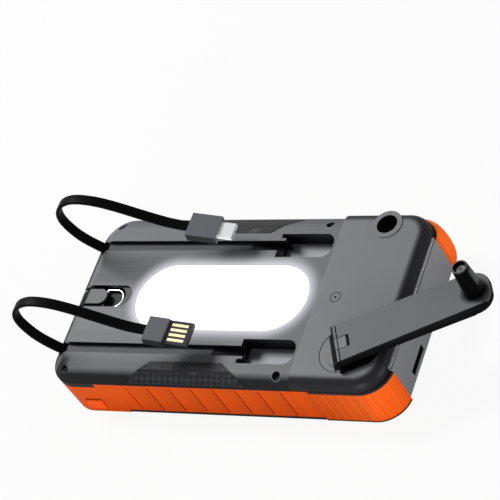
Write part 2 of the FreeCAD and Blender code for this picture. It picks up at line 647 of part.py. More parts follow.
def lower_shell():
    body = new_body("lower_shell")
    core = rectangle(f"-{CORE_L}", CORE_L, f"-{CORE_W}", CORE_W, CORE_CORNER)
    prism(body, "z", [core], "base_lift", "seam_height")
    sill = rectangle("-left_foot_edge", "right_foot_edge", f"-{HALF_W}", HALF_W)
    prism(body, "z", [sill], "base_lift", "sill_top")
    room = rectangle(f"-{ROOM_L}", ROOM_L, f"-{ROOM_W}", ROOM_W, ROOM_CORNER)
    prism(body, "z", [room], FLOOR, OVER, cut=True)
    prism(body, "z", solar_panes(), "base_lift", "base_lift + solar_inset + solar_thick", cut=True)
    bar = rectangle("-rest_bar / 2", "rest_bar / 2", "-solar_width / 2", "solar_width / 2")
    prism(body, "z", [bar], "0", "base_lift + solar_inset")
    posts = [circle(x, y, "post_radius") for x, y in SCREWS]
    prism(body, "z", posts, FLOOR, "seam_height")
    outside = rectangle(f"-{BEYOND}", BEYOND, f"-{BEYOND}", BEYOND)
    prism(body, "z", [outside, core], "sill_top", OVER, cut=True)
    wells = [circle(x, y, "screw_shank") for x, y in SCREWS]
    prism(body, "z", wells, "screw_seat - screw_length", OVER, cut=True)
    spots = [circle(x, y, "standoff_radius")
             for x in ("board_right - 3", f"4 - {ROOM_L}") for y in ("-25", "0", "25")]
    prism(body, "z", spots, FLOOR, "board_height")
    mouth = rectangle("-(flap_half - 2)", "flap_half - 2", FLOOR, "flap_high")
    prism(body, "x", [mouth], f"-{CORE_L} - 1", f"-{ROOM_L} + 1", cut=True)
    stem = circle("button_x", BUTTON_Z, "button_stem + button_gap")
    prism(body, "y", [stem], f"-{CORE_W} - 1", f"-{ROOM_W} + 1", cut=True)
    tube = circle("crank_x", "stow_y", f"{STOW_R} + stow_wall + 0.1")
    prism(body, "z", [tube], f"{STOW_Z} - stow_wall - 0.1", OVER, cut=True)


def side_bumper(label, side, guard):
    """Rubber bumper of one long side: the long piece, or the right corner guard."""
    body = new_body(label)
    ring = [rectangle(f"-{HALF_L}", HALF_L, f"-{HALF_W}", HALF_W, "body_corner"),
            rectangle(f"-{CORE_L}", CORE_L, f"-{CORE_W}", CORE_W, CORE_CORNER)]
    prism(body, "z", ring, "0", "seam_height")
    keep = mirrored(side, "panel_half", f"{HALF_W} + 5")
    other = ("-panel_half", BEYOND) if side else (f"-{BEYOND}", "panel_half")
    prism(body, "z", [rectangle(f"-{BEYOND}", BEYOND, *other)], "-1", OVER, cut=True)
    if guard:
        away = rectangle(f"-{BEYOND}", "guard_seam", *keep)
        sill = rectangle("guard_seam - 1", "right_foot_edge", "-1", "sill_top")
        top = rectangle("right_foot_edge", BEYOND, "right_corner_top", OVER)
    else:
        away = rectangle("guard_seam", BEYOND, *keep)
        sill = rectangle("-left_foot_edge", BEYOND, "-1", "sill_top")
        top = rectangle(f"-{BEYOND}", "-left_top_edge", "left_corner_top", OVER)
    prism(body, "z", [away], "-1", OVER, cut=True)
    prism(body, "y", [sill], keep[0], keep[1], cut=True)
    prism(body, "y", [top], keep[0], keep[1], cut=True)
    face = mirrored(side, f"{HALF_W} - rib_depth", f"{HALF_W} + 1")
    if guard:
        corner_ribs(body, side)
        if not side:
            tube = circle("crank_x", "stow_y", f"{STOW_R} + stow_wall + 0.1")
            prism(body, "z", [tube], f"{STOW_Z} - stow_wall - 0.1", OVER, cut=True)
        return
    rib = rectangle("-rib_first - rib_width / 2", "-rib_first + rib_width / 2", *face)
    groove = prism(body, "z", [rib], "sill_top + 1.2", "seam_height - 1.2", cut=True)
    pattern(body, groove, "LinearPattern", "X_Axis", Occurrences="rib_number",
            Length="(rib_number - 1) * rib_pitch")
    if side:
        x0 = "button_x - button_length / 2 - button_gap"
        x1 = "button_x + button_length / 2 + button_gap"
        z0 = f"{BUTTON_Z} - button_height / 2 - button_gap"
        z1 = f"{BUTTON_Z} + button_height / 2 + button_gap"
        prism(body, "y", [rectangle(x0, x1, z0, z1, "0.8")], f"-{HALF_W} - 1",
              f"-{CORE_W} + 1", cut=True)
        prism(body, "y", [rectangle(f"{x0} - button_flange", f"{x1} + button_flange",
                                    f"{z0} - button_flange", f"{z1} + button_flange", "1")],
              f"-{CORE_W} - button_pocket", f"-{CORE_W} + 1", cut=True)


def corner_ribs(body, side):
    """Upright grooves fanned round the corner, each cut square to the corner's arc."""
    mid_x = f"({HALF_L} - body_corner)"
    mid_y = f"({HALF_W} - body_corner)"
    sign = "-1" if side else "1"
    for step in range(int(number("corner_rib_number"))):
        angle = f"(({step} + 0.6) * corner_rib_step)"
        across = (f"sin({angle} * 1 deg)", f"({sign}) * cos({angle} * 1 deg)")
        along = (f"cos({angle} * 1 deg)", f"-({sign}) * sin({angle} * 1 deg)")
        corners = []
        for depth, half in (("body_corner - rib_depth", "-1"), ("body_corner + 1", "-1"),
                            ("body_corner + 1", "1"), ("body_corner - rib_depth", "1")):
            shift = f"({half}) * rib_width / 2"
            corners.append((f"{mid_x} + ({depth}) * {across[0]} + {shift} * {along[0]}",
                            f"({sign}) * {mid_y} + ({depth}) * {across[1]} + {shift} * {along[1]}"))
        prism(body, "z", [polygon(*corners)], "1.5", "right_corner_top - 1.2", cut=True)


def skirt_ring(body, edge, low, toward):
    """Skin of a cover that reaches down over the lower shell at two corners."""
    far = f"({toward}) * {HALF_L}"
    core = f"({toward}) * {CORE_L}"
    ring = polygon((edge, f"-{HALF_W}"), (edge, f"-{CORE_W}"), (core, f"-{CORE_W}", CORE_CORNER),
                   (core, CORE_W, CORE_CORNER), (edge, CORE_W), (edge, HALF_W),
                   (far, HALF_W, "body_corner"), (far, f"-{HALF_W}", "body_corner"))
    prism(body, "z", [ring], low, "seam_height")


def top_cover():
    body = new_body("top_cover")
    plan = polygon((f"-{HALF_L}", f"-{HALF_W}", "body_corner"), ("housing_left", f"-{HALF_W}"),
                   ("housing_left", HALF_W), (f"-{HALF_L}", HALF_W, "body_corner"))
    prism(body, "z", [plan], "seam_height", "cover_top")
    rim = chosen_edges(body, lambda p: near(p.z, "cover_top") and (
        p.x < number("housing_left") - 0.1 or abs(p.y) > number(HALF_W) - 0.05))
    block = body.Tip
    bevel = body.newObject("PartDesign::Chamfer", "top_cover_bevel")
    bevel.Base = (block, rim)
    bevel.ChamferType = "Two distances"
    bevel.setExpression("Size", sized("bevel_run"))
    bevel.setExpression("Size2", sized("bevel_drop"))
    bevel.FlipDirection = True
    body.Tip = bevel
    round_edges(body, "bevel_blend", lambda p: near(p.z, "cover_top")
                and p.x < number("housing_left") - 0.1 or near(p.z, "cover_top")
                and abs(p.y) > number(f"{HALF_W} - bevel_run") - 0.05)
    skirt_ring(body, "-left_top_edge", "left_corner_top", "-1")
    prism(body, "z", [rectangle(f"-{BEYOND}", f"-{CORE_L}", "-panel_half", "panel_half")],
          "left_corner_top - 1", "seam_height", cut=True)
    # hollow under the plate
    prism(body, "z", [rectangle(f"-{HALF_L} + bevel_run - 0.2", "housing_left + 1",
                                f"-{HALF_W} + bevel_run - 0.2", f"{HALF_W} - bevel_run + 0.2")],
          "seam_height - 1", COVER_UNDER, cut=True)
    # walls round the hollows that open upwards
    for side in SIDES:
        tub = mirrored(side, "pocket_inner - tub_wall", "pocket_outer + tub_wall")
        prism(body, "z", [rectangle("pocket_left - tub_wall", "pocket_right + tub_wall", *tub)],
              f"{POCKET_FLOOR} - tub_wall", COVER_UNDER)
        trough = mirrored(side, "groove_centre - groove_width / 2 - tub_wall",
                          "groove_centre + groove_width / 2 + tub_wall")
        prism(body, "z", [rectangle(f"-{HALF_L} + bevel_run - 1", "pocket_left - tub_wall", *trough)],
              f"{GROOVE_FLOOR} - tub_wall", COVER_UNDER)
        prism(body, "z", [rectangle("ramp_start", "pocket_left - tub_wall", *trough)],
              f"{GROOVE_FLOOR} - ramp_drop - tub_wall", f"{GROOVE_FLOOR} - tub_wall")
    for right, floor in (("hook_right - scoop_length", HOOK_FLOOR), ("hook_right", SCOOP_FLOOR)):
        prism(body, "z", [rectangle(f"-{HALF_L} + bevel_run - 1", f"{right} + tub_wall",
                                    "-hook_half - tub_wall", "hook_half + tub_wall")],
              f"{floor} - tub_wall", COVER_UNDER)
    # openings
    prism(body, "z", [stadium("lamp_x", "lamp_half_straight", "lamp_radius")],
          "seam_height", OVER, cut=True)
    for side in SIDES:
        lane = mirrored(side, "groove_centre - groove_width / 2", "groove_centre + groove_width / 2")
        prism(body, "z", [rectangle(f"-{BEYOND}", "pocket_left + 1", *lane)],
              GROOVE_FLOOR, OVER, cut=True)
        ramp = polygon(("ramp_start", GROOVE_FLOOR), ("pocket_left + 0.1", f"{GROOVE_FLOOR} - ramp_drop"),
                       ("pocket_left + 0.1", "cover_top"), ("ramp_start", "cover_top"))
        prism(body, "y", [ramp], lane[0], lane[1], cut=True)
        hole = mirrored(side, "pocket_inner", "pocket_outer")
        prism(body, "z", [polygon(("pocket_left", hole[0]), ("pocket_right", hole[0], "pocket_corner"),
                                  ("pocket_right", hole[1], "pocket_corner"), ("pocket_left", hole[1]))],
              POCKET_FLOOR, OVER, cut=True)
        lip = mirrored(side, "groove_centre + groove_width / 2", "pocket_outer - notch_width")
        prism(body, "z", [rectangle("pocket_left - tub_wall / 2", "pocket_left + lip_length", *lip)],
              f"{POCKET_FLOOR} - tub_wall / 2", "cover_top")
        grip_recess(body, side)
    for right, floor in (("hook_right - scoop_length", HOOK_FLOOR), ("hook_right", SCOOP_FLOOR)):
        recess = polygon((f"-{BEYOND}", "-hook_half"), (right, "-hook_half", "hook_corner"),
                         (right, "hook_half", "hook_corner"), (f"-{BEYOND}", "hook_half"))
        prism(body, "z", [recess], floor, OVER, cut=True)
    heads = [circle(x, y, "screw_well") for x, y in SCREWS]
    prism(body, "z", heads, "screw_seat", OVER, cut=True)
    shanks = [circle(x, y, "screw_shank + 0.1") for x, y in SCREWS]
    prism(body, "z", shanks, "left_corner_top - 1", "screw_seat", cut=True)
    for side in SIDES:
        grommet_slot(body, side)


def inlay_solid(label, side, over, under):
    """Strip that follows the flat and the slope of the cover, cut to the inlay's plan."""
    body = new_body(label)
    sign = "-1" if side else "1"
    knee = f"({HALF_W} - bevel_run)"
    fall = f"((inlay_outer - {knee}) * bevel_drop / bevel_run)"
    points = [("inlay_inner", f"cover_top + ({over})"), (knee, f"cover_top + ({over})"),
              ("inlay_outer", f"cover_top - {fall} + ({over})"),
              ("inlay_outer", f"cover_top - {fall} - ({under})"),
              (knee, f"cover_top - ({under})"), ("inlay_inner", f"cover_top - ({under})")]
    section = polygon(*[(f"({sign}) * {y}", z) for y, z in points])
    prism(body, "x", [section], "inlay_low_left", "inlay_low_right")
    for low, top, way in (("inlay_low_left", "inlay_top_left", "-1"),
                          ("inlay_low_right", "inlay_top_right", "1")):
        outer = f"({sign}) * (inlay_outer + 0.01)"
        inner = f"({sign}) * (inlay_inner - 0.01)"
        corner = polygon((low, outer), (top, inner), (f"{low} + ({way}) * 1", inner),
                         (f"{low} + ({way}) * 1", outer))
        prism(body, "z", [corner], COVER_UNDER + " - bevel_drop", OVER, cut=True)
    return body


def grip_recess(body, side):
    """Seat of an inlay, as deep as the inlay is thick, less what stands proud."""
    tool = inlay_solid("inlay_seat_" + ("front" if side else "rear"), side, "3",
                       "inlay_thick - inlay_proud")
    seat = body.newObject("PartDesign::Boolean", body.Name + "_seat")
    seat.Type = "Cut"
    seat.Group = [tool]
    body.Tip = seat


def grommet_slot(body, side):
    """Seat of the lead's grommet, across the body at the end of its groove."""
    half = "(lead_thick / 2 + grommet_lip)"
    lane = mirrored(side, "groove_centre - lead_width / 2 - grommet_lip",
                    "groove_centre + lead_width / 2 + grommet_lip")
    prism(body, "y", [grommet_outline(half)], lane[0], lane[1], cut=True)


def grommet_outline(half):
    """Outline of a grommet in the XZ plane; the lead leaves it at 45 degrees."""
    back = "(grommet_length * sin(45 deg))"
    off = f"({half} * sin(45 deg))"
    return polygon((f"lead_exit_x - {off}", f"lead_exit_z - {off}"),
                   (f"lead_exit_x + {off}", f"lead_exit_z + {off}"),
                   (f"lead_exit_x + {off} + {back}", f"lead_exit_z + {off} - {back}"),
                   (f"lead_exit_x - {off} + {back}", f"lead_exit_z - {off} - {back}"))


def crank_housing():
    body = new_body("crank_housing")
    plan = polygon(("housing_left", f"-{HOUSING_HALF}"),
                   (HOUSING_END, f"-{HOUSING_HALF}", "housing_corner"),
                   (HOUSING_END, HOUSING_HALF, "housing_corner"), ("housing_left", HOUSING_HALF))
    prism(body, "z", [plan], "seam_height", "housing_top")
    round_edges(body, "housing_round", lambda p: near(p.z, "housing_top") and (
        p.x > number("housing_left") + 0.1 or abs(p.y) > number(HOUSING_HALF) - 0.05))
    round_edges(body, "housing_step_round", lambda p: near(p.z, "housing_top")
                and near(p.x, "housing_left"))
    skirt_ring(body, "right_foot_edge", "right_corner_top", "1")
    prism(body, "z", [rectangle(CORE_L, BEYOND, "-panel_half", "panel_half")],
          "right_corner_top - 1", "ledge_height", cut=True)
    prism(body, "z", [rectangle("housing_left + housing_wall", f"{HOUSING_END} - housing_margin",
                                f"housing_margin - {HOUSING_HALF}", f"{HOUSING_HALF} - housing_margin")],
          "right_corner_top - 1", HOUSING_UNDER, cut=True)
    # boss and seat of the crank disc
    prism(body, "z", [circle("crank_x", "crank_y", "disc_radius + disc_gap + boss_wall")],
          BOSS_LOW, HOUSING_UNDER)
    prism(body, "z", [circle("crank_x", "crank_y", "disc_radius + disc_gap")],
          f"{DISC_LOW} - disc_gap", OVER, cut=True)
    prism(body, "z", [circle("crank_x", "crank_y", "hub_radius + bush_gap + bush_wall")],
          f"{BOSS_LOW} - 1", f"{DISC_LOW} - disc_gap", cut=True)
    # upper seats of the idler axles
    for place, layer in ((TRAIN_Y[1], LAYER[0]), (TRAIN_Y[2], LAYER[1])):
        low = f"{layer} + gear_face + axle_seat_gap"
        prism(body, "z", [circle("crank_x", place, "axle_boss")], low, HOUSING_UNDER)
        prism(body, "z", [circle("crank_x", place, "axle_radius")], f"{low} - 1", "axle_top", cut=True)
    # tube and collar that take the knob when the crank is stowed
    prism(body, "z", [circle("crank_x", "stow_y", f"{STOW_R} + stow_wall")],
          f"{STOW_Z} - stow_wall", HOUSING_UNDER)
    prism(body, "z", [circle("crank_x", "stow_y", "collar_radius")],
          "seam_height + 1", "housing_top + collar_proud")
    prism(body, "z", [circle("crank_x", "stow_y", STOW_R)], STOW_Z, OVER, cut=True)


def end_panel():
    body = new_body("end_panel")
    prism(body, "z", [rectangle(CORE_L, HALF_L, "-panel_half", "panel_half")],
          "sill_top", "ledge_height")
    prism(body, "x", [rectangle("slot_left", "slot_right", "slot_low", "slot_high", "0.4")],
          f"{HALF_L} - slot_depth", BEYOND, cut=True)
    round_edges(body, "0.4", lambda p: near(p.x, HALF_L) and near(p.z, "ledge_height"))


FLAP_AXIS = (f"(flap_thick / 2 - {HALF_L})", "(flap_low + flap_thick / 2)")
SOCKET_MOUTH = f"(flap_thick + flap_gap + 0.4 - {HALF_L})"
WIDE_SOCKETS = ("-socket_spacing", "socket_spacing")


def port_outline(y, width, height, grow, radius=None):
    """Outline of a socket standing on the main board, grown all round."""
    return rectangle(f"{y} - {width} / 2 - ({grow})", f"{y} + {width} / 2 + ({grow})",
                     f"{BOARD_TOP} - ({grow})", f"{BOARD_TOP} + {height} + ({grow})", radius)


def port_panel():
    body = new_body("port_panel")
    prism(body, "z", [rectangle(f"-{HALF_L}", f"-{CORE_L}", "-panel_half", "panel_half")],
          "sill_top", "seam_height")
    recess = rectangle("-flap_half - flap_gap", "flap_half + flap_gap",
                       "flap_low - flap_gap", "flap_high + flap_gap")
    prism(body, "x", [recess], f"-{BEYOND}", f"flap_thick + flap_gap - {HALF_L}", cut=True)
    pull = rectangle("-finger_half", "finger_half", "flap_high", "flap_high + finger_half / 4")
    prism(body, "x", [pull], f"-{BEYOND}", f"flap_thick + flap_gap - {HALF_L}", cut=True)
    holes = [port_outline(y, "socket_a_width", "socket_a_height", "port_gap") for y in WIDE_SOCKETS]
    holes.append(port_outline("0", "socket_c_width", "socket_c_height", "port_gap", "1.4"))
    prism(body, "x", holes, f"-{BEYOND}", f"1 - {CORE_L}", cut=True)
    reach = "flap_half + flap_gap + flap_pin_length + pivot_gap"
    prism(body, "y", [circle(*FLAP_AXIS, "flap_pin + pivot_gap")], f"-({reach})", reach, cut=True)


def port_flap():
    body = new_body("port_flap")
    soft = "0.49 * flap_thick"
    outside = f"-{HALF_L}"
    inside = f"flap_thick - {HALF_L}"
    prism(body, "y", [polygon((outside, "flap_low", soft), (inside, "flap_low", soft),
                              (inside, "flap_high", "0.3"), (outside, "flap_high", "0.3"))],
          "-flap_half", "flap_half")
    reach = "flap_half + flap_gap + flap_pin_length"
    prism(body, "y", [circle(*FLAP_AXIS, "flap_pin")], f"-({reach})", reach)


def sockets():
    back = f"({SOCKET_MOUTH} + socket_depth)"
    wide = new_body("wide_sockets")
    prism(wide, "x", [port_outline(y, "socket_a_width", "socket_a_height", "0") for y in WIDE_SOCKETS],
          SOCKET_MOUTH, back)
    prism(wide, "x", [port_outline(y, "socket_a_width", "socket_a_height", "-socket_sheet")
                      for y in WIDE_SOCKETS], f"{SOCKET_MOUTH} - 1", f"{back} - 1.5", cut=True)
    low = f"{BOARD_TOP} + socket_a_height - socket_sheet - 0.6 - socket_tongue"
    tongues = [rectangle(f"{y} - socket_a_width / 2 + 1.2", f"{y} + socket_a_width / 2 - 1.2",
                         low, f"{low} + socket_tongue") for y in WIDE_SOCKETS]
    prism(wide, "x", tongues, f"{SOCKET_MOUTH} + 1", f"{back} - 1")
    small = new_body("round_socket")
    prism(small, "x", [port_outline("0", "socket_c_width", "socket_c_height", "0", "1.5")],
          SOCKET_MOUTH, back)
    prism(small, "x", [port_outline("0", "socket_c_width", "socket_c_height", "-socket_sheet", "1.2")],
          f"{SOCKET_MOUTH} - 1", f"{back} - 1.5", cut=True)
    middle = f"{BOARD_TOP} + socket_c_height / 2"
    prism(small, "x", [rectangle("-3.3", "3.3", f"{middle} - 0.35", f"{middle} + 0.35")],
          f"{SOCKET_MOUTH} + 0.8", f"{back} - 1")


def boards_and_cells():
    board = new_body("main_board")
    end = f"board_margin - {ROOM_L}"
    side = f"{ROOM_W} - board_margin"
    prism(board, "z", [polygon((end, f"-({side})", ROOM_CORNER), ("board_right", f"-({side})", "1"),
                               ("board_right", side, "1"), (end, side, ROOM_CORNER))],
          "board_height", BOARD_TOP)
    prism(board, "z", [circle(x, y, "post_radius + board_margin") for x, y in SCREWS[2:]],
          "board_height - 1", OVER, cut=True)
    switch = new_body("tact_switch")
    front = "(button_stem_end - button_travel - switch_slack)"
    prism(switch, "z", [rectangle("button_x - switch_length / 2", "button_x + switch_length / 2",
                                  f"-{front}", f"switch_depth - {front}", "0.5")],
          BOARD_TOP, f"{BOARD_TOP} + switch_height")
    for name, low in (("battery_cell_lower", FLOOR), ("battery_cell_upper", f"({FLOOR} + cell_thick)")):
        cell = new_body(name)
        prism(cell, "z", [rectangle("cell_left", "cell_right", "-cell_width / 2", "cell_width / 2",
                                    "cell_edge")], low, f"{low} + cell_thick")
        round_edges(cell, "cell_edge / 2", lambda p: near(p.z, low) or near(p.z, f"{low} + cell_thick"))
    foam = new_body("foam_pad")
    prism(foam, "z", [rectangle("lamp_x - foam_length / 2", "lamp_x + foam_length / 2",
                                "-foam_width / 2", "foam_width / 2", "2")], CELLS_TOP, LAMP_BOARD_LOW)
    solar = new_body("solar_panel")
    prism(solar, "z", solar_panes(), "base_lift + solar_inset",
          "base_lift + solar_inset + solar_thick")


def lamp():
    rim = "lamp_radius + lens_flange"
    board = new_body("lamp_board")
    prism(board, "z", [stadium("lamp_x", "lamp_half_straight", rim)], LAMP_BOARD_LOW, LAMP_BOARD_TOP)
    leds = new_body("lamp_leds")
    squares = []
    for column in range(int(number("led_columns"))):
        for row in range(int(number("led_rows"))):
            x = f"lamp_x + ({column} - (led_columns - 1) / 2) * led_pitch_x"
            y = f"({row} - (led_rows - 1) / 2) * led_pitch_y"
            squares.append(rectangle(f"{x} - led_size / 2", f"{x} + led_size / 2",
                                     f"{y} - led_size / 2", f"{y} + led_size / 2"))
    prism(leds, "z", squares, LAMP_BOARD_TOP, f"{LAMP_BOARD_TOP} + led_height")
    frame = new_body("lamp_reflector")
    prism(frame, "z", [stadium("lamp_x", "lamp_half_straight", rim),
                       stadium("lamp_x", "lamp_half_straight", f"{rim} - reflector_wall")],
          LAMP_BOARD_TOP, LENS_FLANGE_LOW)
    lens = new_body("lamp_lens")
    prism(lens, "z", [stadium("lamp_x", "lamp_half_straight", rim)], LENS_FLANGE_LOW, COVER_UNDER)
    prism(lens, "z", [stadium("lamp_x", "lamp_half_straight", "lamp_radius - lens_gap")],
          COVER_UNDER, "cover_top + lens_proud")
    prism(lens, "z", [stadium("lamp_x", "lamp_half_straight", "lamp_radius - 1.5")],
          f"{LENS_FLANGE_LOW} - 1", f"{COVER_UNDER} + 0.6", cut=True)
    round_edges(lens, "0.7", lambda p: near(p.z, "cover_top + lens_proud"))


def lanyard_hook():
    tongue = new_body("hook_tongue")
    top = "(cover_top - tongue_drop)"
    left = f"tongue_inset - {HALF_L}"
    plan = polygon((left, "-tongue_half"), ("tongue_right", "-tongue_half", "tongue_corner"),
                   ("tongue_right", "tongue_half", "tongue_corner"), (left, "tongue_half"))
    prism(tongue, "z", [plan], HOOK_FLOOR, top)
    slope_low = "cover_top - bevel_drop - tongue_drop"
    prism(tongue, "y", [polygon((f"-{HALF_L} - 1", slope_low), (f"-{HALF_L}", slope_low),
                                (f"bevel_run - {HALF_L}", top), (f"bevel_run - {HALF_L}", OVER),
                                (f"-{HALF_L} - 1", OVER))], "-tongue_half - 1", "tongue_half + 1", cut=True)
    hold_depth = "(tongue_half - bail_hold - pivot_gap)"
    for low, high in ((hold_depth, "tongue_half + 1"), ("-tongue_half - 1", f"-{hold_depth}")):
        prism(tongue, "y", [circle("bail_pivot_x", "bail_pivot_z", "bail_wire / 2 + pivot_gap")],
              low, high, cut=True)
    bail = new_body("bail")
    path = new_sketch(bail, "XY_Plane", "bail_pivot_z")
    inner = "(tongue_half - bail_hold)"
    open_path(("bail_pivot_x", f"-{inner}"), ("bail_pivot_x", "-bail_half", "bail_wire"),
              ("bail_centre_x + bail_half", "-bail_half", "bail_corner"),
              ("bail_centre_x + bail_half", "bail_half", "bail_corner"),
              ("bail_pivot_x", "bail_half", "bail_wire"), ("bail_pivot_x", inner))(path)
    wire = new_sketch(bail, "XZ_Plane", inner)
    circle("bail_pivot_x", "bail_pivot_z", "bail_wire / 2")(wire)
    pipe = bail.newObject("PartDesign::AdditivePipe", "bail_pipe")
    pipe.Profile = wire
    pipe.Spine = path


def case_screws():
    body = new_body("shell_screws")
    prism(body, "z", [circle(x, y, "screw_head") for x, y in SCREWS],
          "screw_seat", "screw_seat + screw_head_height")
    prism(body, "z", [circle(x, y, "screw_shank") for x, y in SCREWS],
          "screw_seat - screw_length", "screw_seat")


def power_button():
    body = new_body("power_button")

    def face(grow, radius):
        return rectangle(f"button_x - button_length / 2 - ({grow})",
                         f"button_x + button_length / 2 + ({grow})",
                         f"{BUTTON_Z} - button_height / 2 - ({grow})",
                         f"{BUTTON_Z} + button_height / 2 + ({grow})", radius)
    seat = f"({CORE_W} + button_pocket)"
    back = f"({CORE_W} + button_pocket - button_flange_thick)"
    prism(body, "y", [face("0", "0.7")], f"-({HALF_W} + button_proud)", f"-{seat}")
    prism(body, "y", [face("button_flange - button_gap", "0.9")], f"-{seat}", f"-{back}")
    prism(body, "y", [circle("button_x", BUTTON_Z, "button_stem")], f"-{back}", "-button_stem_end")
    round_edges(body, "0.5", lambda p: near(p.y, f"-({HALF_W} + button_proud)"))


# --------------------------------------------------------------------------------------
# Crank, in a frame whose X runs along the arm from the crank axis
# --------------------------------------------------------------------------------------
def crank_body(label):
    return new_body(label, "crank_x", "crank_y", turn="crank_angle")


def knob_axis_body(label):
    return new_body(label, f"crank_x + {KNOB_S} * cos(crank_angle * 1 deg)",
                    f"crank_y + {KNOB_S} * sin(crank_angle * 1 deg)", turn="crank_angle")


def crank_disc():
    body = crank_body("crank_disc")
    hub_low = "(train_top + gear_face + gear_hub_lip + 0.1)"
    turned(body, [("shaft_radius", hub_low), ("hub_radius", hub_low), ("hub_radius", DISC_LOW),
                  ("disc_radius", DISC_LOW), ("disc_radius", "housing_top - 0.3"),
                  ("disc_radius - 0.3", "housing_top"), ("riser_radius", "housing_top"),
                  ("riser_radius", f"{ARM_LOW} - riser_gap"), ("0", f"{ARM_LOW} - riser_gap"),
                  ("0", "shaft_top"),
                  ("shaft_radius", "shaft_top")])
    rear = "-(hinge_back + arm_thick / 2)"
    front = "(lug_front - hinge_back)"
    prism(body, "y", [polygon((rear, "housing_top - 0.2"), (front, "housing_top - 0.2"),
                              (front, f"{ARM_HIGH} - 0.1", "0.5"), (rear, f"{ARM_HIGH} - 0.1", "1.1"))],
          "-lug_half", "lug_half")
    prism(body, "y", [circle("-hinge_back", HINGE_Z, "hinge_pin_radius")],
          "-lug_half - 1", "lug_half + 1", cut=True)
    pin = crank_body("hinge_pin")
    prism(pin, "y", [circle("-hinge_back", HINGE_Z, "hinge_pin_radius")],
          "hinge_pin_inset - arm_half", "arm_half - hinge_pin_inset")


def crank_shaft():
    body = crank_body("crank_shaft")
    turned(body, [("0", "plate_height + 0.1"), ("stub_radius", "plate_height + 0.1"),
                  ("stub_radius", f"{PLATE_TOP} + 0.2"), ("shaft_radius", f"{PLATE_TOP} + 0.2"),
                  ("shaft_radius", "shaft_top"), ("0", "shaft_top")])
    bush = new_body("crank_bush", "crank_x", "crank_y")
    turned(bush, [("hub_radius + bush_gap", BOSS_LOW), ("hub_radius + bush_gap + bush_wall", BOSS_LOW),
                  ("hub_radius + bush_gap + bush_wall", f"{DISC_LOW} - disc_gap"),
                  ("hub_radius + bush_gap", f"{DISC_LOW} - disc_gap")])


def crank_arm():
    body = crank_body("crank_arm")
    root = "-(hinge_back + arm_thick / 2)"
    tip = f"({KNOB_S} - carrier_start)"
    prism(body, "z", [rectangle(root, tip, "-arm_half", "arm_half")], ARM_LOW, ARM_HIGH)

    round_edges(body, "0.46 * arm_thick", lambda p: near(p.x, root) and (
        near(p.z, ARM_LOW) or near(p.z, ARM_HIGH)))
    prism(body, "z", [polygon((f"{root} - 1", "-lug_half - notch_gap"),
                              ("lug_front - hinge_back + notch_gap", "-lug_half - notch_gap", "0.8"),
                              ("lug_front - hinge_back + notch_gap", "lug_half + notch_gap", "0.8"),
                              (f"{root} - 1", "lug_half + notch_gap"))],
          f"{ARM_LOW} - 1", f"{ARM_HIGH} + 1", cut=True)
    prism(body, "y", [circle("-hinge_back", HINGE_Z, "hinge_pin_radius + pivot_gap")],
          "hinge_pin_inset - pivot_gap - arm_half", "arm_half + pivot_gap - hinge_pin_inset", cut=True)
    prism(body, "z", [rectangle(f"{tip} - carrier_tongue", f"{tip} + 1", "-carrier_tongue_half",
                                "carrier_tongue_half")],
          f"{ARM_LOW} - 1", f"{ARM_LOW} + arm_thick / 2", cut=True)
    prism(body, "z", [rectangle("strip_line - hinge_back - 0.2", "strip_line - hinge_back + 0.2",
                                "-arm_half - 1", "arm_half + 1")],
          f"{ARM_HIGH} - 0.35", f"{ARM_HIGH} + 1", cut=True)


def knob_carrier():
    body = crank_body("knob_carrier")
    edge = f"({KNOB_S} - carrier_start)"
    end = f"({KNOB_S} + carrier_reach)"
    prism(body, "z", [polygon((edge, "-carrier_half"), (end, "-carrier_half", "carrier_corner"),
                              (end, "carrier_half", "carrier_corner"), (edge, "carrier_half"))],
          ARM_LOW, ARM_HIGH)
    round_edges(body, "carrier_round", lambda p: near(p.z, ARM_HIGH) and (
        near(abs(p.y), "carrier_half") or p.x > number(edge) + 0.1))
    prism(body, "z", [rectangle(f"{edge} - carrier_tongue", f"{edge} + 0.5", "-carrier_tongue_half",
                                "carrier_tongue_half")], ARM_LOW, f"{ARM_LOW} + arm_thick / 2")
    prism(body, "z", [circle(KNOB_S, "0", "knob_screw_radius")], f"{ARM_LOW} - 1",
          f"{ARM_HIGH} + 1", cut=True)


def knob():
    body = knob_axis_body("knob")
    bore = "(knob_screw_radius + pivot_gap)"
    well = f"({KNOB_HIGH} - knob_well_depth)"
    turned(body, [(bore, KNOB_LOW), ("knob_base", KNOB_LOW, "0.3"), ("knob_base", f"{KNOB_LOW} + 1.4"),
                  ("knob_tip", KNOB_HIGH, "0.6"), ("knob_well", KNOB_HIGH), ("knob_well", well),
                  (bore, well)])
    screw = knob_axis_body("knob_screw")
    seat = f"({KNOB_HIGH} - knob_well_depth + pivot_gap)"
    turned(screw, [("0", ARM_LOW), ("knob_screw_radius", ARM_LOW), ("knob_screw_radius", seat),
                   ("knob_screw_head", seat), ("knob_screw_head", f"{seat} + 1.3", "0.3"),
                   ("0", f"{seat} + 1.3")])


# --------------------------------------------------------------------------------------
# Gear train: one wheel and one pinion pattern, three stages in line
# --------------------------------------------------------------------------------------
def root_radius(teeth):
    return f"(gear_module * {teeth} / 2 - tooth_root * gear_module)"


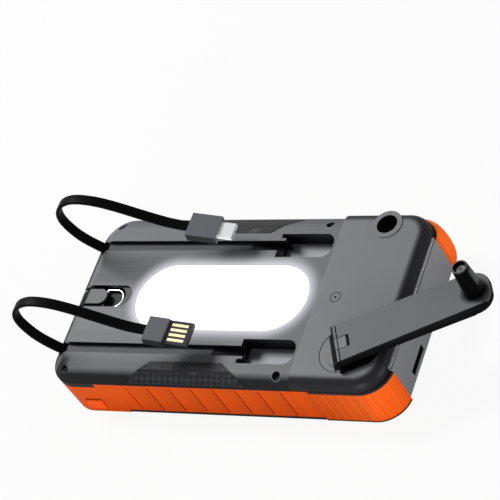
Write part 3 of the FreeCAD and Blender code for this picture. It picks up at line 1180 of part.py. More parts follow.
def tooth_sketch(body, teeth, low):
    """One tooth on the body's +X: two involute-like flank arcs, a tip arc and a foot."""
    pitch = f"(gear_module * {teeth} / 2)"
    tip = f"(gear_module * ({teeth} / 2 + 1))"
    foot = f"({root_radius(teeth)} - tooth_bury)"
    flank = f"({pitch} * sin(pressure_angle * 1 deg))"
    base = f"({pitch} * cos(pressure_angle * 1 deg))"
    half = f"(((pi * gear_module - backlash * 2) / 4 / {pitch}) * 180 / pi)"
    lean = f"({half} - pressure_angle)"
    sketch = new_sketch(body, "XY_Plane", low)
    circles = []
    for radius in (foot, tip):
        ring = sketch.addGeometry(Part.Circle(V(0, 0, 0), V(0, 0, 1), number(radius)), True)
        sketch.addConstraint(Sketcher.Constraint("Coincident", ring, 3, -1, 1))
        hold(sketch, "Radius", ring, size=radius)
        circles.append(ring)
    ends = []
    for way in (1, -1):
        centre = V(number(f"{base} * cos({lean} * 1 deg)"),
                   way * number(f"{base} * sin({lean} * 1 deg)"), 0)
        reach = number(flank)
        marks = []
        for radius in (number(foot), number(tip)):
            # where the flank's circle meets a circle about the gear's axis
            away = centre.Length
            share = (radius ** 2 + away ** 2 - reach ** 2) / (2 * radius * away)
            angle = math.atan2(centre.y, centre.x) + way * math.acos(share)
            marks.append(V(radius * math.cos(angle), radius * math.sin(angle), 0))
        turn = [math.atan2(m.y - centre.y, m.x - centre.x) for m in marks]
        first, last = (turn[0], turn[1]) if way < 0 else (turn[1], turn[0])
        arc = sketch.addGeometry(Part.ArcOfCircle(
            Part.Circle(centre, V(0, 0, 1), reach), first, last))
        low_end, high_end = (1, 2) if way < 0 else (2, 1)
        place_point(sketch, arc, 3, f"{base} * cos({lean} * 1 deg)",
                    f"{way} * {base} * sin({lean} * 1 deg)")
        sketch.addConstraint(Sketcher.Constraint("PointOnObject", arc, low_end, circles[0]))
        if way > 0:
            # the tip arc, centred on the gear's axis, brings the other flank to this radius
            sketch.addConstraint(Sketcher.Constraint("PointOnObject", arc, high_end, circles[1]))
        hold(sketch, "Radius", arc, size=flank)
        ends.append((arc, low_end, high_end, marks))
    upper, lower = ends
    cap = sketch.addGeometry(Part.ArcOfCircle(
        Part.Circle(V(0, 0, 0), V(0, 0, 1), number(tip)),
        math.atan2(lower[3][1].y, lower[3][1].x), math.atan2(upper[3][1].y, upper[3][1].x)))
    sketch.addConstraint(Sketcher.Constraint("Coincident", cap, 3, -1, 1))
    sketch.addConstraint(Sketcher.Constraint("Coincident", cap, 1, lower[0], lower[2]))
    sketch.addConstraint(Sketcher.Constraint("Coincident", cap, 2, upper[0], upper[2]))
    bottom = sketch.addGeometry(Part.LineSegment(upper[3][0], lower[3][0]))
    sketch.addConstraint(Sketcher.Constraint("Coincident", bottom, 1, upper[0], upper[1]))
    sketch.addConstraint(Sketcher.Constraint("Coincident", bottom, 2, lower[0], lower[1]))
    return sketch


def add_teeth(body, teeth, low):
    """A full ring of teeth by a polar pattern of one padded tooth."""
    sketch = tooth_sketch(body, teeth, low)
    tooth = body.newObject("PartDesign::Pad", body.Name + "_tooth")
    tooth.Profile = sketch
    tooth.setExpression("Length", sized("gear_face"))
    pattern(body, tooth, "PolarPattern", "Z_Axis", Occurrences=teeth, Angle="360")


# How far each gear axis is turned, so that a tooth meets a gap on every line of centres.
PHASES = ["90", "(-90 + 180 / pinion_teeth)", "-90", "(-90 + 180 / pinion_teeth)"]


def gear_body(label, stage):
    """A body on one of the four gear axes."""
    return new_body(label, "crank_x", TRAIN_Y[stage], turn=PHASES[stage])


def drive_gear():
    body = gear_body("drive_gear", 0)
    rim = root_radius("wheel_teeth")
    low = LAYER[0]
    turned(body, [("shaft_radius", f"{low} - 1"), ("gear_hub", f"{low} - 1"), ("gear_hub", low),
                  (rim, low), (rim, f"{low} + gear_face"), (f"{rim} - gear_rim", f"{low} + gear_face"),
                  (f"{rim} - gear_rim", f"{low} + gear_web"), ("gear_hub", f"{low} + gear_web"),
                  ("gear_hub", f"{low} + gear_face + gear_hub_lip"),
                  ("shaft_radius", f"{low} + gear_face + gear_hub_lip")])
    add_teeth(body, "wheel_teeth", low)


def idler(label, stage):
    """A wheel with its pinion on top, turning on a fixed axle."""
    body = gear_body(label, stage)
    rim = root_radius("wheel_teeth")
    core = root_radius("pinion_teeth")
    bore = "(axle_radius + axle_gap)"
    low, high = LAYER[stage], LAYER[stage - 1]
    foot = f"({PLATE_TOP} + 0.2)"
    spacer = [(bore, foot), ("axle_boss", foot), ("axle_boss", low)] if stage == 1 else [(bore, low)]
    turned(body, spacer + [(rim, low), (rim, f"{low} + gear_face"),
                           (f"{rim} - gear_rim", f"{low} + gear_face"),
                           (f"{rim} - gear_rim", f"{low} + gear_web"), ("idler_hub", f"{low} + gear_web"),
                           ("idler_hub", f"{low} + gear_face + 0.4"), (core, f"{low} + gear_face + 0.4"),
                           (core, f"{high} + gear_face"), (bore, f"{high} + gear_face")])
    add_teeth(body, "pinion_teeth", high)
    add_teeth(body, "wheel_teeth", low)


def gear_plate():
    body = new_body("gear_plate")
    prism(body, "z", [rectangle("plate_left", "plate_right", "plate_front", "plate_rear", "4")],
          "plate_height", PLATE_TOP)
    legs = [(x, y) for x in ("plate_left + leg_inset", "plate_right - leg_inset")
            for y in ("plate_front + leg_inset", "plate_rear - leg_inset")]
    prism(body, "z", [circle(x, y, "plate_leg") for x, y in legs], FLOOR, "plate_height")
    prism(body, "z", [circle(x, y, "gear_screw") for x, y in legs], f"{FLOOR} + 2", OVER, cut=True)
    prism(body, "z", [circle("crank_x", "crank_y", "stub_radius + bush_gap")],
          "plate_height - 1", OVER, cut=True)
    prism(body, "z", [circle("crank_x", y, "axle_radius") for y in TRAIN_Y[1:3]],
          "plate_height - 1", OVER, cut=True)
    prism(body, "z", [circle("crank_x", TRAIN_Y[3], "3 * generator_shaft")],
          "plate_height - 1", OVER, cut=True)
    screws = new_body("gearbox_screws")
    prism(screws, "z", [circle(x, y, "gear_screw") for x, y in legs], f"{FLOOR} + 2.5", PLATE_TOP)
    prism(screws, "z", [circle(x, y, "2 * gear_screw") for x, y in legs], PLATE_TOP, f"{PLATE_TOP} + 1")
    axles = new_body("idler_axles")
    prism(axles, "z", [circle("crank_x", y, "axle_radius") for y in TRAIN_Y[1:3]],
          "plate_height", "axle_top")


def generator():
    case = new_body("generator_case", "crank_x", TRAIN_Y[3])
    low = "(plate_height - generator_height)"
    inner = "(generator_radius - generator_wall)"
    neck = "(generator_shaft + bush_gap)"
    turned(case, [("0", low), ("generator_radius", low, "0.6"), ("generator_radius", "plate_height"),
                  (neck, "plate_height"), (neck, "plate_height - generator_wall"),
                  (inner, "plate_height - generator_wall"), (inner, f"{low} + generator_wall"),
                  ("0", f"{low} + generator_wall")])
    rotor = new_body("generator_rotor", "crank_x", TRAIN_Y[3])
    floor = f"{low} + generator_wall + rotor_gap"
    ceiling = "plate_height - generator_wall - rotor_gap"
    top = f"{LAYER[2]} + gear_face + 0.2"
    turned(rotor, [("0", floor), (f"{inner} - rotor_gap", floor), (f"{inner} - rotor_gap", ceiling),
                   ("generator_shaft", ceiling), ("generator_shaft", top), ("0", top)])
    pinion = gear_body("rotor_pinion", 3)
    turned(pinion, [("generator_shaft", LAYER[2]), (root_radius("pinion_teeth"), LAYER[2]),
                    (root_radius("pinion_teeth"), f"{LAYER[2]} + gear_face"),
                    ("generator_shaft", f"{LAYER[2]} + gear_face")])
    add_teeth(pinion, "pinion_teeth", LAYER[2])


# --------------------------------------------------------------------------------------
# Leads and plugs
# --------------------------------------------------------------------------------------
def plug_body(label, side, end):
    """A body at a plug's mouth, X out of the plug and tilted nose down."""
    return new_body(label, f"{end}_plug_x", f"({side}1) * groove_centre", f"{end}_plug_z",
                    "plug_tilt", V(0, 1, 0))


def overmould(side, end, label, length):
    body = plug_body(label, side, end)
    prism(body, "x", [rectangle("-overmould_width / 2", "overmould_width / 2", "-overmould_thick / 2",
                                "overmould_thick / 2", "overmould_round")], "0", length)


def plugs():
    overmould("-", "front", "front_plug_body", "overmould_a_length")
    tongue = plug_body("front_plug_tongue", "-", "front")
    prism(tongue, "x", [rectangle("-tongue_a_width / 2", "tongue_a_width / 2", "-tongue_a_thick / 2",
                                  "tongue_a_thick / 2")],
          "overmould_a_length", "overmould_a_length + tongue_a_length")
    contacts = plug_body("front_plug_contacts", "-", "front")
    strips = []
    for index in range(int(number("contact_number"))):
        middle = f"({index} - (contact_number - 1) / 2) * contact_pitch"
        start = "overmould_a_length + contact_start"
        strips.append(rectangle(start, f"{start} + contact_length",
                                f"{middle} - contact_width / 2", f"{middle} + contact_width / 2"))
    prism(contacts, "z", strips, "tongue_a_thick / 2", "tongue_a_thick / 2 + contact_thick")
    overmould("", "rear", "rear_plug_body", "overmould_c_length")
    shell = plug_body("rear_plug_shell", "", "rear")

    def face(grow):
        return rectangle(f"-shell_c_width / 2 - ({grow})", f"shell_c_width / 2 + ({grow})",
                         f"-shell_c_height / 2 - ({grow})", f"shell_c_height / 2 + ({grow})",
                         f"0.46 * shell_c_height + ({grow})")
    end = "overmould_c_length + shell_c_length"
    prism(shell, "x", [face("0")], "overmould_c_length", end)
    prism(shell, "x", [face("-shell_c_sheet")], "overmould_c_length + 1", f"{end} + 1", cut=True)


def lead(label, side, end):
    """A flat lead: straight runs joined by tangent arcs, swept by its section."""
    width, thick = number("lead_width"), number("lead_thick")
    tilt = math.radians(number("plug_tilt"))
    y = number("groove_centre") * (-1 if side else 1)
    stop = V(number(f"{end}_plug_x"), y, number(f"{end}_plug_z"))
    before = stop - V(math.cos(tilt), 0, -math.sin(tilt)) * LAST_RUN
    start = V(number("lead_exit_x"), y, number("lead_exit_z"))
    points = [start] + [V(x, y, z) for x, z in LEAD_ROUTE] + [before, stop]
    edges = []
    at = points[0]
    radii = []
    for i in range(1, len(points) - 1):
        back = points[i - 1] - points[i]
        ahead = points[i + 1] - points[i]
        turn = math.pi - back.getAngle(ahead)
        reach = ARC_SHARE * min(back.Length, ahead.Length)
        radii.append(reach / math.tan(turn / 2))
        first = points[i] + back.normalize() * reach
        last = points[i] + ahead.normalize() * reach
        bow = (back + ahead).normalize()
        middle = points[i] + bow * (radii[-1] / math.cos(turn / 2) - radii[-1])
        edges.append(Part.LineSegment(at, first).toShape())
        edges.append(Part.Arc(first, middle, last).toShape())
        at = last
    edges.append(Part.LineSegment(at, points[-1]).toShape())
    path = Part.Wire(edges)
    along = (points[1] - points[0]).normalize()
    flat = V(0, 1, 0) * (width / 2)
    thin = along.cross(V(0, 1, 0)) * (thick / 2)
    corners = [start + flat + thin, start + flat - thin, start - flat - thin, start - flat + thin]
    section = Part.makePolygon(corners + corners[:1])
    band = path.makePipeShell([section], True, False)
    body = doc.addObject("Part::Feature", label)
    body.Label = label
    body.Shape = band
    ideal = width * thick * path.Length
    print(f"{label}: length {path.Length:.1f}, radii {[round(r, 1) for r in radii]}, "
          f"volume {band.Volume:.1f} of {ideal:.1f}")


def grommet(label, side):
    body = new_body(label)
    lane = mirrored(side, "groove_centre - lead_width / 2 - grommet_lip",
                    "groove_centre + lead_width / 2 + grommet_lip")
    prism(body, "y", [grommet_outline("(lead_thick / 2 + grommet_lip)")], lane[0], lane[1])


# --------------------------------------------------------------------------------------
# Build, check and write
# --------------------------------------------------------------------------------------
def build():
    lower_shell()
    side_bumper("front_bumper", "-", False)
    side_bumper("rear_bumper", "", False)
    side_bumper("front_corner_guard", "-", True)
    side_bumper("rear_corner_guard", "", True)
    top_cover()
    for side, end in (("-", "front"), ("", "rear")):
        inlay_solid("grip_inlay_" + end, side, "inlay_proud", "inlay_thick - inlay_proud")
        grommet("lead_grommet_" + end, side)
        lead("flat_lead_" + end, side, end)
    crank_housing()
    end_panel()
    port_panel()
    port_flap()
    sockets()
    boards_and_cells()
    lamp()
    lanyard_hook()
    case_screws()
    power_button()
    crank_disc()
    crank_shaft()
    crank_arm()
    knob_carrier()
    knob()
    drive_gear()
    idler("first_idler", 1)
    idler("second_idler", 2)
    gear_plate()
    generator()
    plugs()
    doc.recompute()


def check_and_write():
    for item in doc.Objects:
        if "Invalid" in item.State or "Error" in item.State:
            raise RuntimeError(f"{item.Name} is {item.State}")
    pieces = [item for item in doc.Objects
              if item.TypeId in ("PartDesign::Body", "Part::Feature")
              and not item.Label.startswith("inlay_seat")]
    for piece in pieces:
        if piece.Shape.isNull() or not piece.Shape.isValid():
            raise RuntimeError(f"{piece.Label} has no valid shape")
    os.makedirs("parts", exist_ok=True)
    for piece in pieces:
        piece.Shape.exportStep(f"parts/{piece.Label}.step")
        box = piece.Shape.BoundBox
        print(f"{piece.Label}: {len(piece.Shape.Solids)} solid(s), {piece.Shape.Volume:.0f} mm3, "
              f"X {box.XMin:.1f} {box.XMax:.1f}  Y {box.YMin:.1f} {box.YMax:.1f}  "
              f"Z {box.ZMin:.1f} {box.ZMax:.1f}")
    print(len(pieces), "pieces")


if __name__ == "__main__":
    build()
    check_and_write()
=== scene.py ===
"""Looks of the camping power bank with a hand crank, a lamp and two captive flat leads.

Metres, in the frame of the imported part: +X runs towards the crank end, -Y is the long side
with the button, +Z is the lamp side.  Material maths is in millimetres.
"""
import math

import bmesh
import bpy
from mathutils import Matrix, Vector


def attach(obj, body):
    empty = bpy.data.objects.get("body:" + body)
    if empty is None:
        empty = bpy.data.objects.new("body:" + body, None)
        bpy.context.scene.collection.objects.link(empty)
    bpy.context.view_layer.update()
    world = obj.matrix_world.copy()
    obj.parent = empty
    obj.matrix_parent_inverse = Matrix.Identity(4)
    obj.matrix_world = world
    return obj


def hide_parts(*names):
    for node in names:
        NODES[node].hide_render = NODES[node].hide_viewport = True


bl_info = {
    "name": "Crank Power Bank Looks",
    "version": (1, 0, 0),
    "blender": (4, 5, 0),
    "location": "3D View > Sidebar > Power bank",
    "description": "Finishes, leads, trim and stage of a hand crank power bank",
    "category": "Object",
}

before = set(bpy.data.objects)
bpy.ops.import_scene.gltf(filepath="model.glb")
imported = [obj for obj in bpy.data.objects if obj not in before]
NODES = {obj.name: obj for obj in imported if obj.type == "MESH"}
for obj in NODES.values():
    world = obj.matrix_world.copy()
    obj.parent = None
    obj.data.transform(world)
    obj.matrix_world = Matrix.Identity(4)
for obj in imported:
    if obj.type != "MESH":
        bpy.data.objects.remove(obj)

MM = 0.001

LEAD_OFF = 27.75        # the leads' middle lines off the body's, millimetres
LEAD_SIDE = {"front": -LEAD_OFF * MM, "rear": LEAD_OFF * MM}
# Route of a flat lead from its exit to its plug, as (X, Z) control points in metres.
LEAD_EXIT = (-0.0835, 0.0243)
LEAD_ROUTE = [
    (-0.0903, 0.0311),
    (-0.0939, 0.0432),
    (-0.0932, 0.0508),
    (-0.0893, 0.0570),
    (-0.0830, 0.0609),
    (-0.0757, 0.0618),
    (-0.0635, 0.0586),
    (-0.0430, 0.0464),
]
LEAD_LAST_RUN = 0.0065
LEAD_ROUND = 0.62       # rounding of a lead's edges, as a share of half its thickness
PLUG_TILT = math.radians(12)
PLUG_ENDS = {"front": (-0.0279, 0.0407), "rear": (-0.0270, 0.0405)}

# Lengths from here to the camera are in millimetres.

# The body's end, the cover's upper face and the depth of its hollows.
BODY_END = 85.9
COVER_TOP = 26.0
SCOOP_DEPTH = 1.4
GROOVE_DEPTH = 2.3
HOOK_DEPTH = 4.0
POCKET_DEPTH = 8.0

# The four screw wells: middle and half spread along X, distance off the middle line, radius.
WELL_MIDDLE = -21.7
WELL_SPREAD = 55.5
WELL_Y = 39.4
WELL_RADIUS = 1.95
# Half length, half width and heights of the black cross, painted shade for the recess in a screw's
# head.
CROSS_HALF = (1.1, 0.24)
CROSS_HEIGHTS = (23.7, 24.03)

# The lamp's window: middle, half of its straight run and end radius.
LAMP_X = -8.45
LAMP_RUN = 26.8
LAMP_RADIUS = 17.4
LED_PITCH = (9.5, 11.0)   # of the diodes behind the lens, along X and Y
LENS_LIGHT = 1.1        # strength of the lens's own light
PAINTED_HALO_LIGHT = 0.62       # and of the painted glow on the cover round it

# The slanted ends of a grip inlay at its lower and upper edge, and how far out those edges are.
INLAY_LOW = (-42.9, 18.5)
INLAY_TOP = (-31.9, 5.1)
INLAY_OUT = 44.0
INLAY_IN = 34.4
# Its weave: pitch of the blocks along X and Y, and radians per millimetre of the threads.
WEAVE_PITCH = (3.0, 2.4)
THREAD_RATE = 11.4

# The solar panel: start and pitch of the cells, half width, bus bars off the middle line and
# pitch of the grid fingers.
SOLAR_START = -74
CELL_PITCH = 14.2
SOLAR_HALF = 34
BUS_BAR = 17.5
FINGER_PITCH = 1.42

# Grooves of the bumper and of the corner guard: first groove and pitch.
RIB_START, RIB_PITCH = -44.1, 11.4
GUARD_START, GUARD_PITCH = 46.0, 4.2

# The crank housing: its top, a corner's centre, and the stowing hole beside the crank.
HOUSING_TOP = 28.0
HOUSING_CORNER = (72.1, 32.1)
STOW_Y = 37.2
STOW_RADIUS = 4.9
# The end panel: its upper edge.
LEDGE_TOP = 24.0

# The crank's axis, the turn of its resting arm and the knob's place along it.
CRANK_X = 63.8
CRANK_Y = -27.2
ARM_TURN = math.radians(26.2)
KNOB_ALONG = 61.0
# The arm's under and upper face.
ARM_LOW = 30.2
ARM_TOP = 33.0
# The painted highlight on the knob's side: its turn from the arm, and the heights where it
# starts, is full, fades and stops.  Then the height of the knob's rim, which has a painted
# highlight too.
KNOB_HIGHLIGHT_TURN = math.radians(-14)
KNOB_HIGHLIGHT_HEIGHTS = (37.5, 41.0, 46.5, 48.8)
KNOB_RIM = 49.8
# The lines across the arm, along it: at its root, beside the hinge and on the lug.
ARM_ROOT = -2.0
HINGE_LINE = -0.6
LUG_LINE = 3.15
# The black plate of painted shade under the arm's root: ends along the arm, half width, rounding
# and heights.
SHADE_PLATE_ENDS = (-2.8, 17.0)
SHADE_PLATE_HALF = 12.2
SHADE_PLATE_CORNER = 9.0
SHADE_PLATE_HEIGHTS = (28.15, 29.98)
SHADE_PLATE_STEPS = 12
# The recess in the knob's screw: radius and heights.
RECESS_RADIUS = 0.85
RECESS_HEIGHTS = (48.3, 48.42)
# The ring on the housing: middle, inner and outer radius, radius of its dot, heights.
RING_MIDDLE = (50.8, -0.7)
RING_RADII = (2.3, 2.6)
DOT_RADIUS = 0.55
RING_HEIGHTS = (27.9, 28.03)
NO_HOLE = 0.01          # inner radius of a ring that is nearly a full disc

# The pad on the far corner of the crank end: middle, reach, inner face, angles in degrees and
# steps between them, a groove in every so many steps and its depth, and how far the pad
# stands out at its heights.
PAD_MIDDLE = (72.4, 31.3)
PAD_REACH = 13.48
PAD_INNER = 12.5
PAD_ANGLES = (8.0, 89.0, 42)
PAD_GROOVE_STEPS = 6
PAD_GROOVE = 0.3
PAD_OUT = [
    (0.3, 1.6), (1.0, 2.3), (2.5, 2.9), (5.0, 3.3), (9.0, 3.5), (13.0, 3.4), (17.0, 3.0),
    (20.0, 2.3), (21.5, 1.6), (21.95, 1.2),
]

# The camera: focal length and sensor in millimetres, reach and place in metres, and two of
# its axes.
CAMERA_LENS = 174.798
CAMERA_SENSOR = 36
CAMERA_REACH = (0.02, 40)
CAMERA_PLACE = (0.566445, -0.50377, 0.76353)
CAMERA_RIGHT = (0.84736, 0.30884, -0.43198)
CAMERA_BACK = (0.53103, -0.49391, 0.68853)

# The stage in metres and watts: name, place and power of each light, and what they share.
LIGHTS = [
    ("key_lamp", (-0.95, 0.37, 1.05), 19.2),
    ("front_lamp", (0.1, -1.5, 0.16), 12.8),
    ("end_lamp", (1.4, -0.1, 0.18), 8.0),
]
LIGHT_SIZE = 0.5
LIGHT_AIM = (0, 0, 0.02)
FLOOR_HALF = 6
FLOOR_HEIGHT = -0.0002
FLOOR_LIFT = 0.93       # share of plain white in what the camera sees of the floor
AMBIENT = 0.07          # strength of the surroundings as light on the object
MIRRORED = 0.6          # and how much stronger they are in its gloss


def srgb(red, green, blue):
    """A screen colour of 0 to 255 as Blender's linear colour."""
    shares = [v / 255 for v in (red, green, blue)]
    return [v / 12.92 if v <= 0.04045 else ((v + 0.055) / 1.055) ** 2.4 for v in shares]


# Metals by name: colour, worn colour, roughness and the nodes made of them.
METALS = {
    "screw_steel": ((26, 26, 28), (40, 40, 43), 0.4, ["shell_screws", "gearbox_screws"]),
    "knob_screw_steel": ((96, 96, 100), (116, 116, 120), 0.4, ["knob_screw"]),
    "shaft_steel": (
        (190, 190, 194), (160, 161, 165), 0.25,
        ["crank_shaft", "idler_axles", "generator_case", "generator_rotor", "hinge_pin"],
    ),
    "sheet_metal": (
        (206, 206, 208), (176, 177, 180), 0.25, ["wide_sockets", "round_socket", "gear_plate"],
    ),
    "pinion_brass": ((222, 184, 110), (196, 156, 86), 0.25, ["rotor_pinion"]),
}


# ---- Shader writing ----------------------------------------------
class Wire:
    """The output of a node.  Sums on it add Math nodes."""

    def __init__(self, owner, socket):
        self.owner = owner
        self.socket = socket

    def maths(self, operation, *values):
        """A Math node on these values."""
        return self.owner.node("ShaderNodeMath", {"operation": operation}, dict(enumerate(values)))

    def __add__(self, other):
        return self.maths("ADD", self, other)

    def __radd__(self, other):
        return self.maths("ADD", other, self)

    def __sub__(self, other):
        return self.maths("SUBTRACT", self, other)

    def __rsub__(self, other):
        return self.maths("SUBTRACT", other, self)

    def __mul__(self, other):
        return self.maths("MULTIPLY", self, other)

    def __rmul__(self, other):
        return self.maths("MULTIPLY", other, self)

    def __truediv__(self, other):
        return self.maths("DIVIDE", self, other)

    def __rtruediv__(self, other):
        return self.maths("DIVIDE", other, self)

    def __abs__(self):
        return self.maths("ABSOLUTE", self)

    def above(self, low):
        """The larger of the two."""
        return self.maths("MAXIMUM", self, low)

    def below(self, high):
        """The smaller of the two."""
        return self.maths("MINIMUM", self, high)

    def root(self):
        """Square root."""
        return self.maths("SQRT", self)

    def wave(self, rate):
        """Sine of so many radians per unit, 0 to 1."""
        return self.maths("SINE", self * rate) * 0.5 + 0.5

    def fold(self, pitch):
        """Saw tooth from 0 to pitch."""
        return self.maths("FLOORED_MODULO", self, pitch)

    def centred(self, pitch):
        """Saw tooth from minus to plus half a pitch."""
        return self.fold(pitch) - pitch / 2

    def rise(self, start, stop):
        """0 before start and 1 after stop, smooth between them."""
        return self.owner.node(
            "ShaderNodeMapRange",
            {"interpolation_type": "SMOOTHSTEP"},
            {"Value": self, "From Min": start, "From Max": stop},
        )

    def fall(self, start, stop):
        """1 before start and 0 after stop, smooth between them."""
        return 1 - self.rise(start, stop)

    def band(self, start, full, fade, stop):
        """1 from full to fade, 0 before start and after stop."""
        return self.rise(start, full) * self.fall(fade, stop)

    def near(self, middle, full, none):
        """1 within full of the middle, 0 beyond none."""
        return abs(self - middle).fall(full, none)


def length(first, second):
    """Length of the line with these two legs."""
    return (first * first + second * second).root()


class ShaderTree:
    """A node tree under construction."""

    def __init__(self, tree):
        self.tree = tree
        tree.nodes.clear()

    def node(self, kind, settings=None, values=None, output=0):
        """Add a node: its settings first, then the values or links of its sockets."""
        made = self.tree.nodes.new(kind)
        for key, value in (settings or {}).items():
            setattr(made, key, value)
        for key, value in (values or {}).items():
            socket = made.inputs[key]
            if isinstance(value, Wire):
                self.tree.links.new(value.socket, socket)
            elif socket.type == "RGBA":
                socket.default_value = list(value)[:3] + [1.0]
            else:
                socket.default_value = value
        return None if output is None else Wire(self, made.outputs[output])

    def vectors(self, operation, values):
        """A Vector Math node."""
        return self.node("ShaderNodeVectorMath", {"operation": operation}, values, "Vector")


class Finish(ShaderTree):
    """One material, written node by node over the place on the piece in millimetres."""

    def __init__(self, name):
        self.material = bpy.data.materials.new(name)
        self.material.use_nodes = True
        super().__init__(self.material.node_tree)
        place = self.node("ShaderNodeTexCoord", output="Object")
        self.place = self.vectors("SCALE", {"Vector": place, "Scale": 1 / MM})
        self.x = self.node("ShaderNodeSeparateXYZ", {}, {"Vector": self.place}, "X")
        split = self.x.socket.node
        self.y = Wire(self, split.outputs["Y"])
        self.z = Wire(self, split.outputs["Z"])

    def from_corner(self, corner_x, corner_y):
        """Distance from the two corner centres of the crank end, and from the lines they end."""
        return length((self.x - corner_x).above(0), (abs(self.y) - corner_y).above(0))

    def on_arm(self):
        """Millimetres along the resting arm from the crank axis, and across it."""
        across_x = self.x - CRANK_X
        across_y = self.y - CRANK_Y
        along = across_x * math.cos(ARM_TURN) + across_y * math.sin(ARM_TURN)
        across = across_y * math.cos(ARM_TURN) - across_x * math.sin(ARM_TURN)
        return along, across

    def noise(self, scale, detail=2.0, stretch=None):
        """Noise of so many lumps per millimetre, 0 to 1."""
        place = self.vectors("MULTIPLY", {0: self.place, 1: stretch}) if stretch else self.place
        return self.node(
            "ShaderNodeTexNoise", {}, {"Vector": place, "Scale": scale, "Detail": detail}
        )

    def mix(self, share, first, second):
        """From the first colour to the second by share."""
        values = {0: share, 6: first, 7: second}
        return self.node("ShaderNodeMix", {"data_type": "RGBA"}, values, 2)

    def coats(self, colour, *coats):
        """A colour with others over it, each a share and a colour."""
        for share, other in coats:
            colour = self.mix(share, colour, other)
        return colour

    def grey(self, share, low, high):
        """A grey from low to high by share."""
        return self.mix(share, [low] * 3, [high] * 3)

    def shaded(self, colour, *greys):
        """A colour times greys, each a share with its low and high."""
        for share, low, high in greys:
            colour = self.vectors("MULTIPLY", {0: colour, 1: self.grey(share, low, high)})
        return colour

    def bump(self, height, depth):
        """Normal from a height of 0 to 1 that stands for depth in millimetres."""
        return self.node("ShaderNodeBump", {}, {"Height": height, "Distance": depth * MM})

    def close(self, **values):
        """End in the shader, with spaces in socket names written as underscores."""
        named = {key.replace("_", " "): value for key, value in values.items()}
        shader = self.node("ShaderNodeBsdfPrincipled", {}, named)
        self.node("ShaderNodeOutputMaterial", {}, {"Surface": shader}, None)
        return self.material

    def moulding(self, tone, rough, drift=0.06, uneven=0.1, shine=0.2, **more):
        """End as moulded plastic: faint flow clouds and fine spark grain over a tone."""
        clouds = self.noise(0.05)
        speck = self.noise(4.0)
        return self.close(
            Base_Color=self.shaded(tone, (clouds, 1 - drift, 1 + drift), (speck, 0.94, 1.06)),
            Roughness=(speck - 0.5) * uneven + rough,
            Specular_IOR_Level=shine,
            Normal=self.bump(speck, 0.02),
            **more,
        )


# ---- Finishes ----------------------------------------------------
def moulded(name, colour, dark, rough=0.42, mask=None, shine=0.2):
    """Moulded plastic of two colours; where the mask is 1 it is dark and more matt."""
    finish = Finish(name)
    if mask:
        share = mask(finish)
        rough = share * 0.4 + rough
    else:
        share = finish.noise(0.05) * 0.25
    tone = finish.mix(share, colour, dark)
    return finish.moulding(tone, rough, drift=0.035, uneven=0.12, shine=shine)


def cover_plastic(look):
    """Top cover: grey face; painted shade on its slopes, end edge, hollows, screw wells and near
    corner; painted light on the pocket floors; painted glow round the lamp; painted highlight on
    the well rims; painted shade by the hook; brushed lines.
    """
    finish = Finish("cover_plastic")
    x, y = finish.x, finish.y
    side = abs(y)
    from_end = x + BODY_END
    depth = COVER_TOP - finish.z
    flat = depth.fall(0.05, 0.3)
    # Painted shade on the long slopes, the front ones darker than the rear.
    slope_shade = depth.rise(-0.05, 1.8) * side.rise(37.6, 39.6) * (1 - y.rise(-2, 2) * 0.75)
    # Painted shade along the left end's edge below the face.
    end_edge_shade = from_end.fall(1.7, 2.4) * depth.rise(0.15, 0.8)

    within = side.fall(34.6, 35.2) * from_end.rise(1.0, 1.4)
    # Painted shade on the sides of the hollows.
    wall_shade = within * depth.rise(0.07, 0.3) * from_end.rise(6.1, 6.4)
    # Painted shade on the floor of the lead grooves.
    groove = within * depth.near(GROOVE_DEPTH, 0.03, 0.12)
    # Painted shade on the floor of the hook's recess.
    hook_floor_shade = within * depth.near(HOOK_DEPTH, 0.05, 0.15) * side.fall(5.9, 6.2)
    # Painted shade on the floor of the shallow scoop.
    scoop = within * depth.near(SCOOP_DEPTH, 0.03, 0.12)
    # Painted light: the floors of the plug pockets are made paler.
    pocket = within * depth.rise(POCKET_DEPTH - 0.5, POCKET_DEPTH - 0.1)

    well = length(abs(x - WELL_MIDDLE) - WELL_SPREAD, side - WELL_Y) - WELL_RADIUS
    # Painted shade inside the screw wells.
    hole = (well - x.fall(-70, -60) * 0.5).fall(0.02, 0.1) * depth.fall(3.4, 3.6)
    # Painted highlight on the rims of the right screw wells.
    rim = well.band(0.03, 0.1, 0.25, 0.55) * x.rise(20, 30)
    # Painted shade: the near corner of the left end, round its screw, goes black.
    corner = well.fall(2.65, 6.05) * from_end.fall(8.4, 11.9) * y.fall(-34, -30)

    # Painted shade: a darker patch on the rear side by the hook; the brushed lines beside it are
    # the cover's own.
    patch = flat * x.fall(-66, -42) * y.band(5.8, 8.5, 17, 23)
    brushed = flat * x.fall(-60, -46) * side.band(6.4, 7.4, 17, 20)
    lines = y.wave(6.0) * finish.noise(0.5, 2.0, (0.06, 3.0, 1.0))
    tone = finish.coats(
        look.cover,
        (slope_shade, look.cover_slope_shade),
        (end_edge_shade, look.black),
        (wall_shade, look.black),
        (groove, look.lead_bed_shade),
        (hook_floor_shade * 0.9, look.black),
        (scoop, look.scoop),
        (pocket, look.pocket_floor_painted_light),
        (hole, look.black),
        (corner, look.black),
        (rim * 0.35, look.worn_edge_and_highlight),
        (patch * 0.85, look.brushed),
        (brushed * lines * 0.4, look.worn_edge_and_highlight),
    )
    # Painted light: the cover glows round the lens, as if lit by it.
    from_lamp = length((abs(x - LAMP_X) - LAMP_RUN).above(0), y) - LAMP_RADIUS
    glow = from_lamp.fall(-2.0, 8.6)
    return finish.moulding(
        tone, 0.5,
        Emission_Color=finish.mix(glow * glow * flat, [0, 0, 0], look.glow),
        Emission_Strength=PAINTED_HALO_LIGHT,
    )


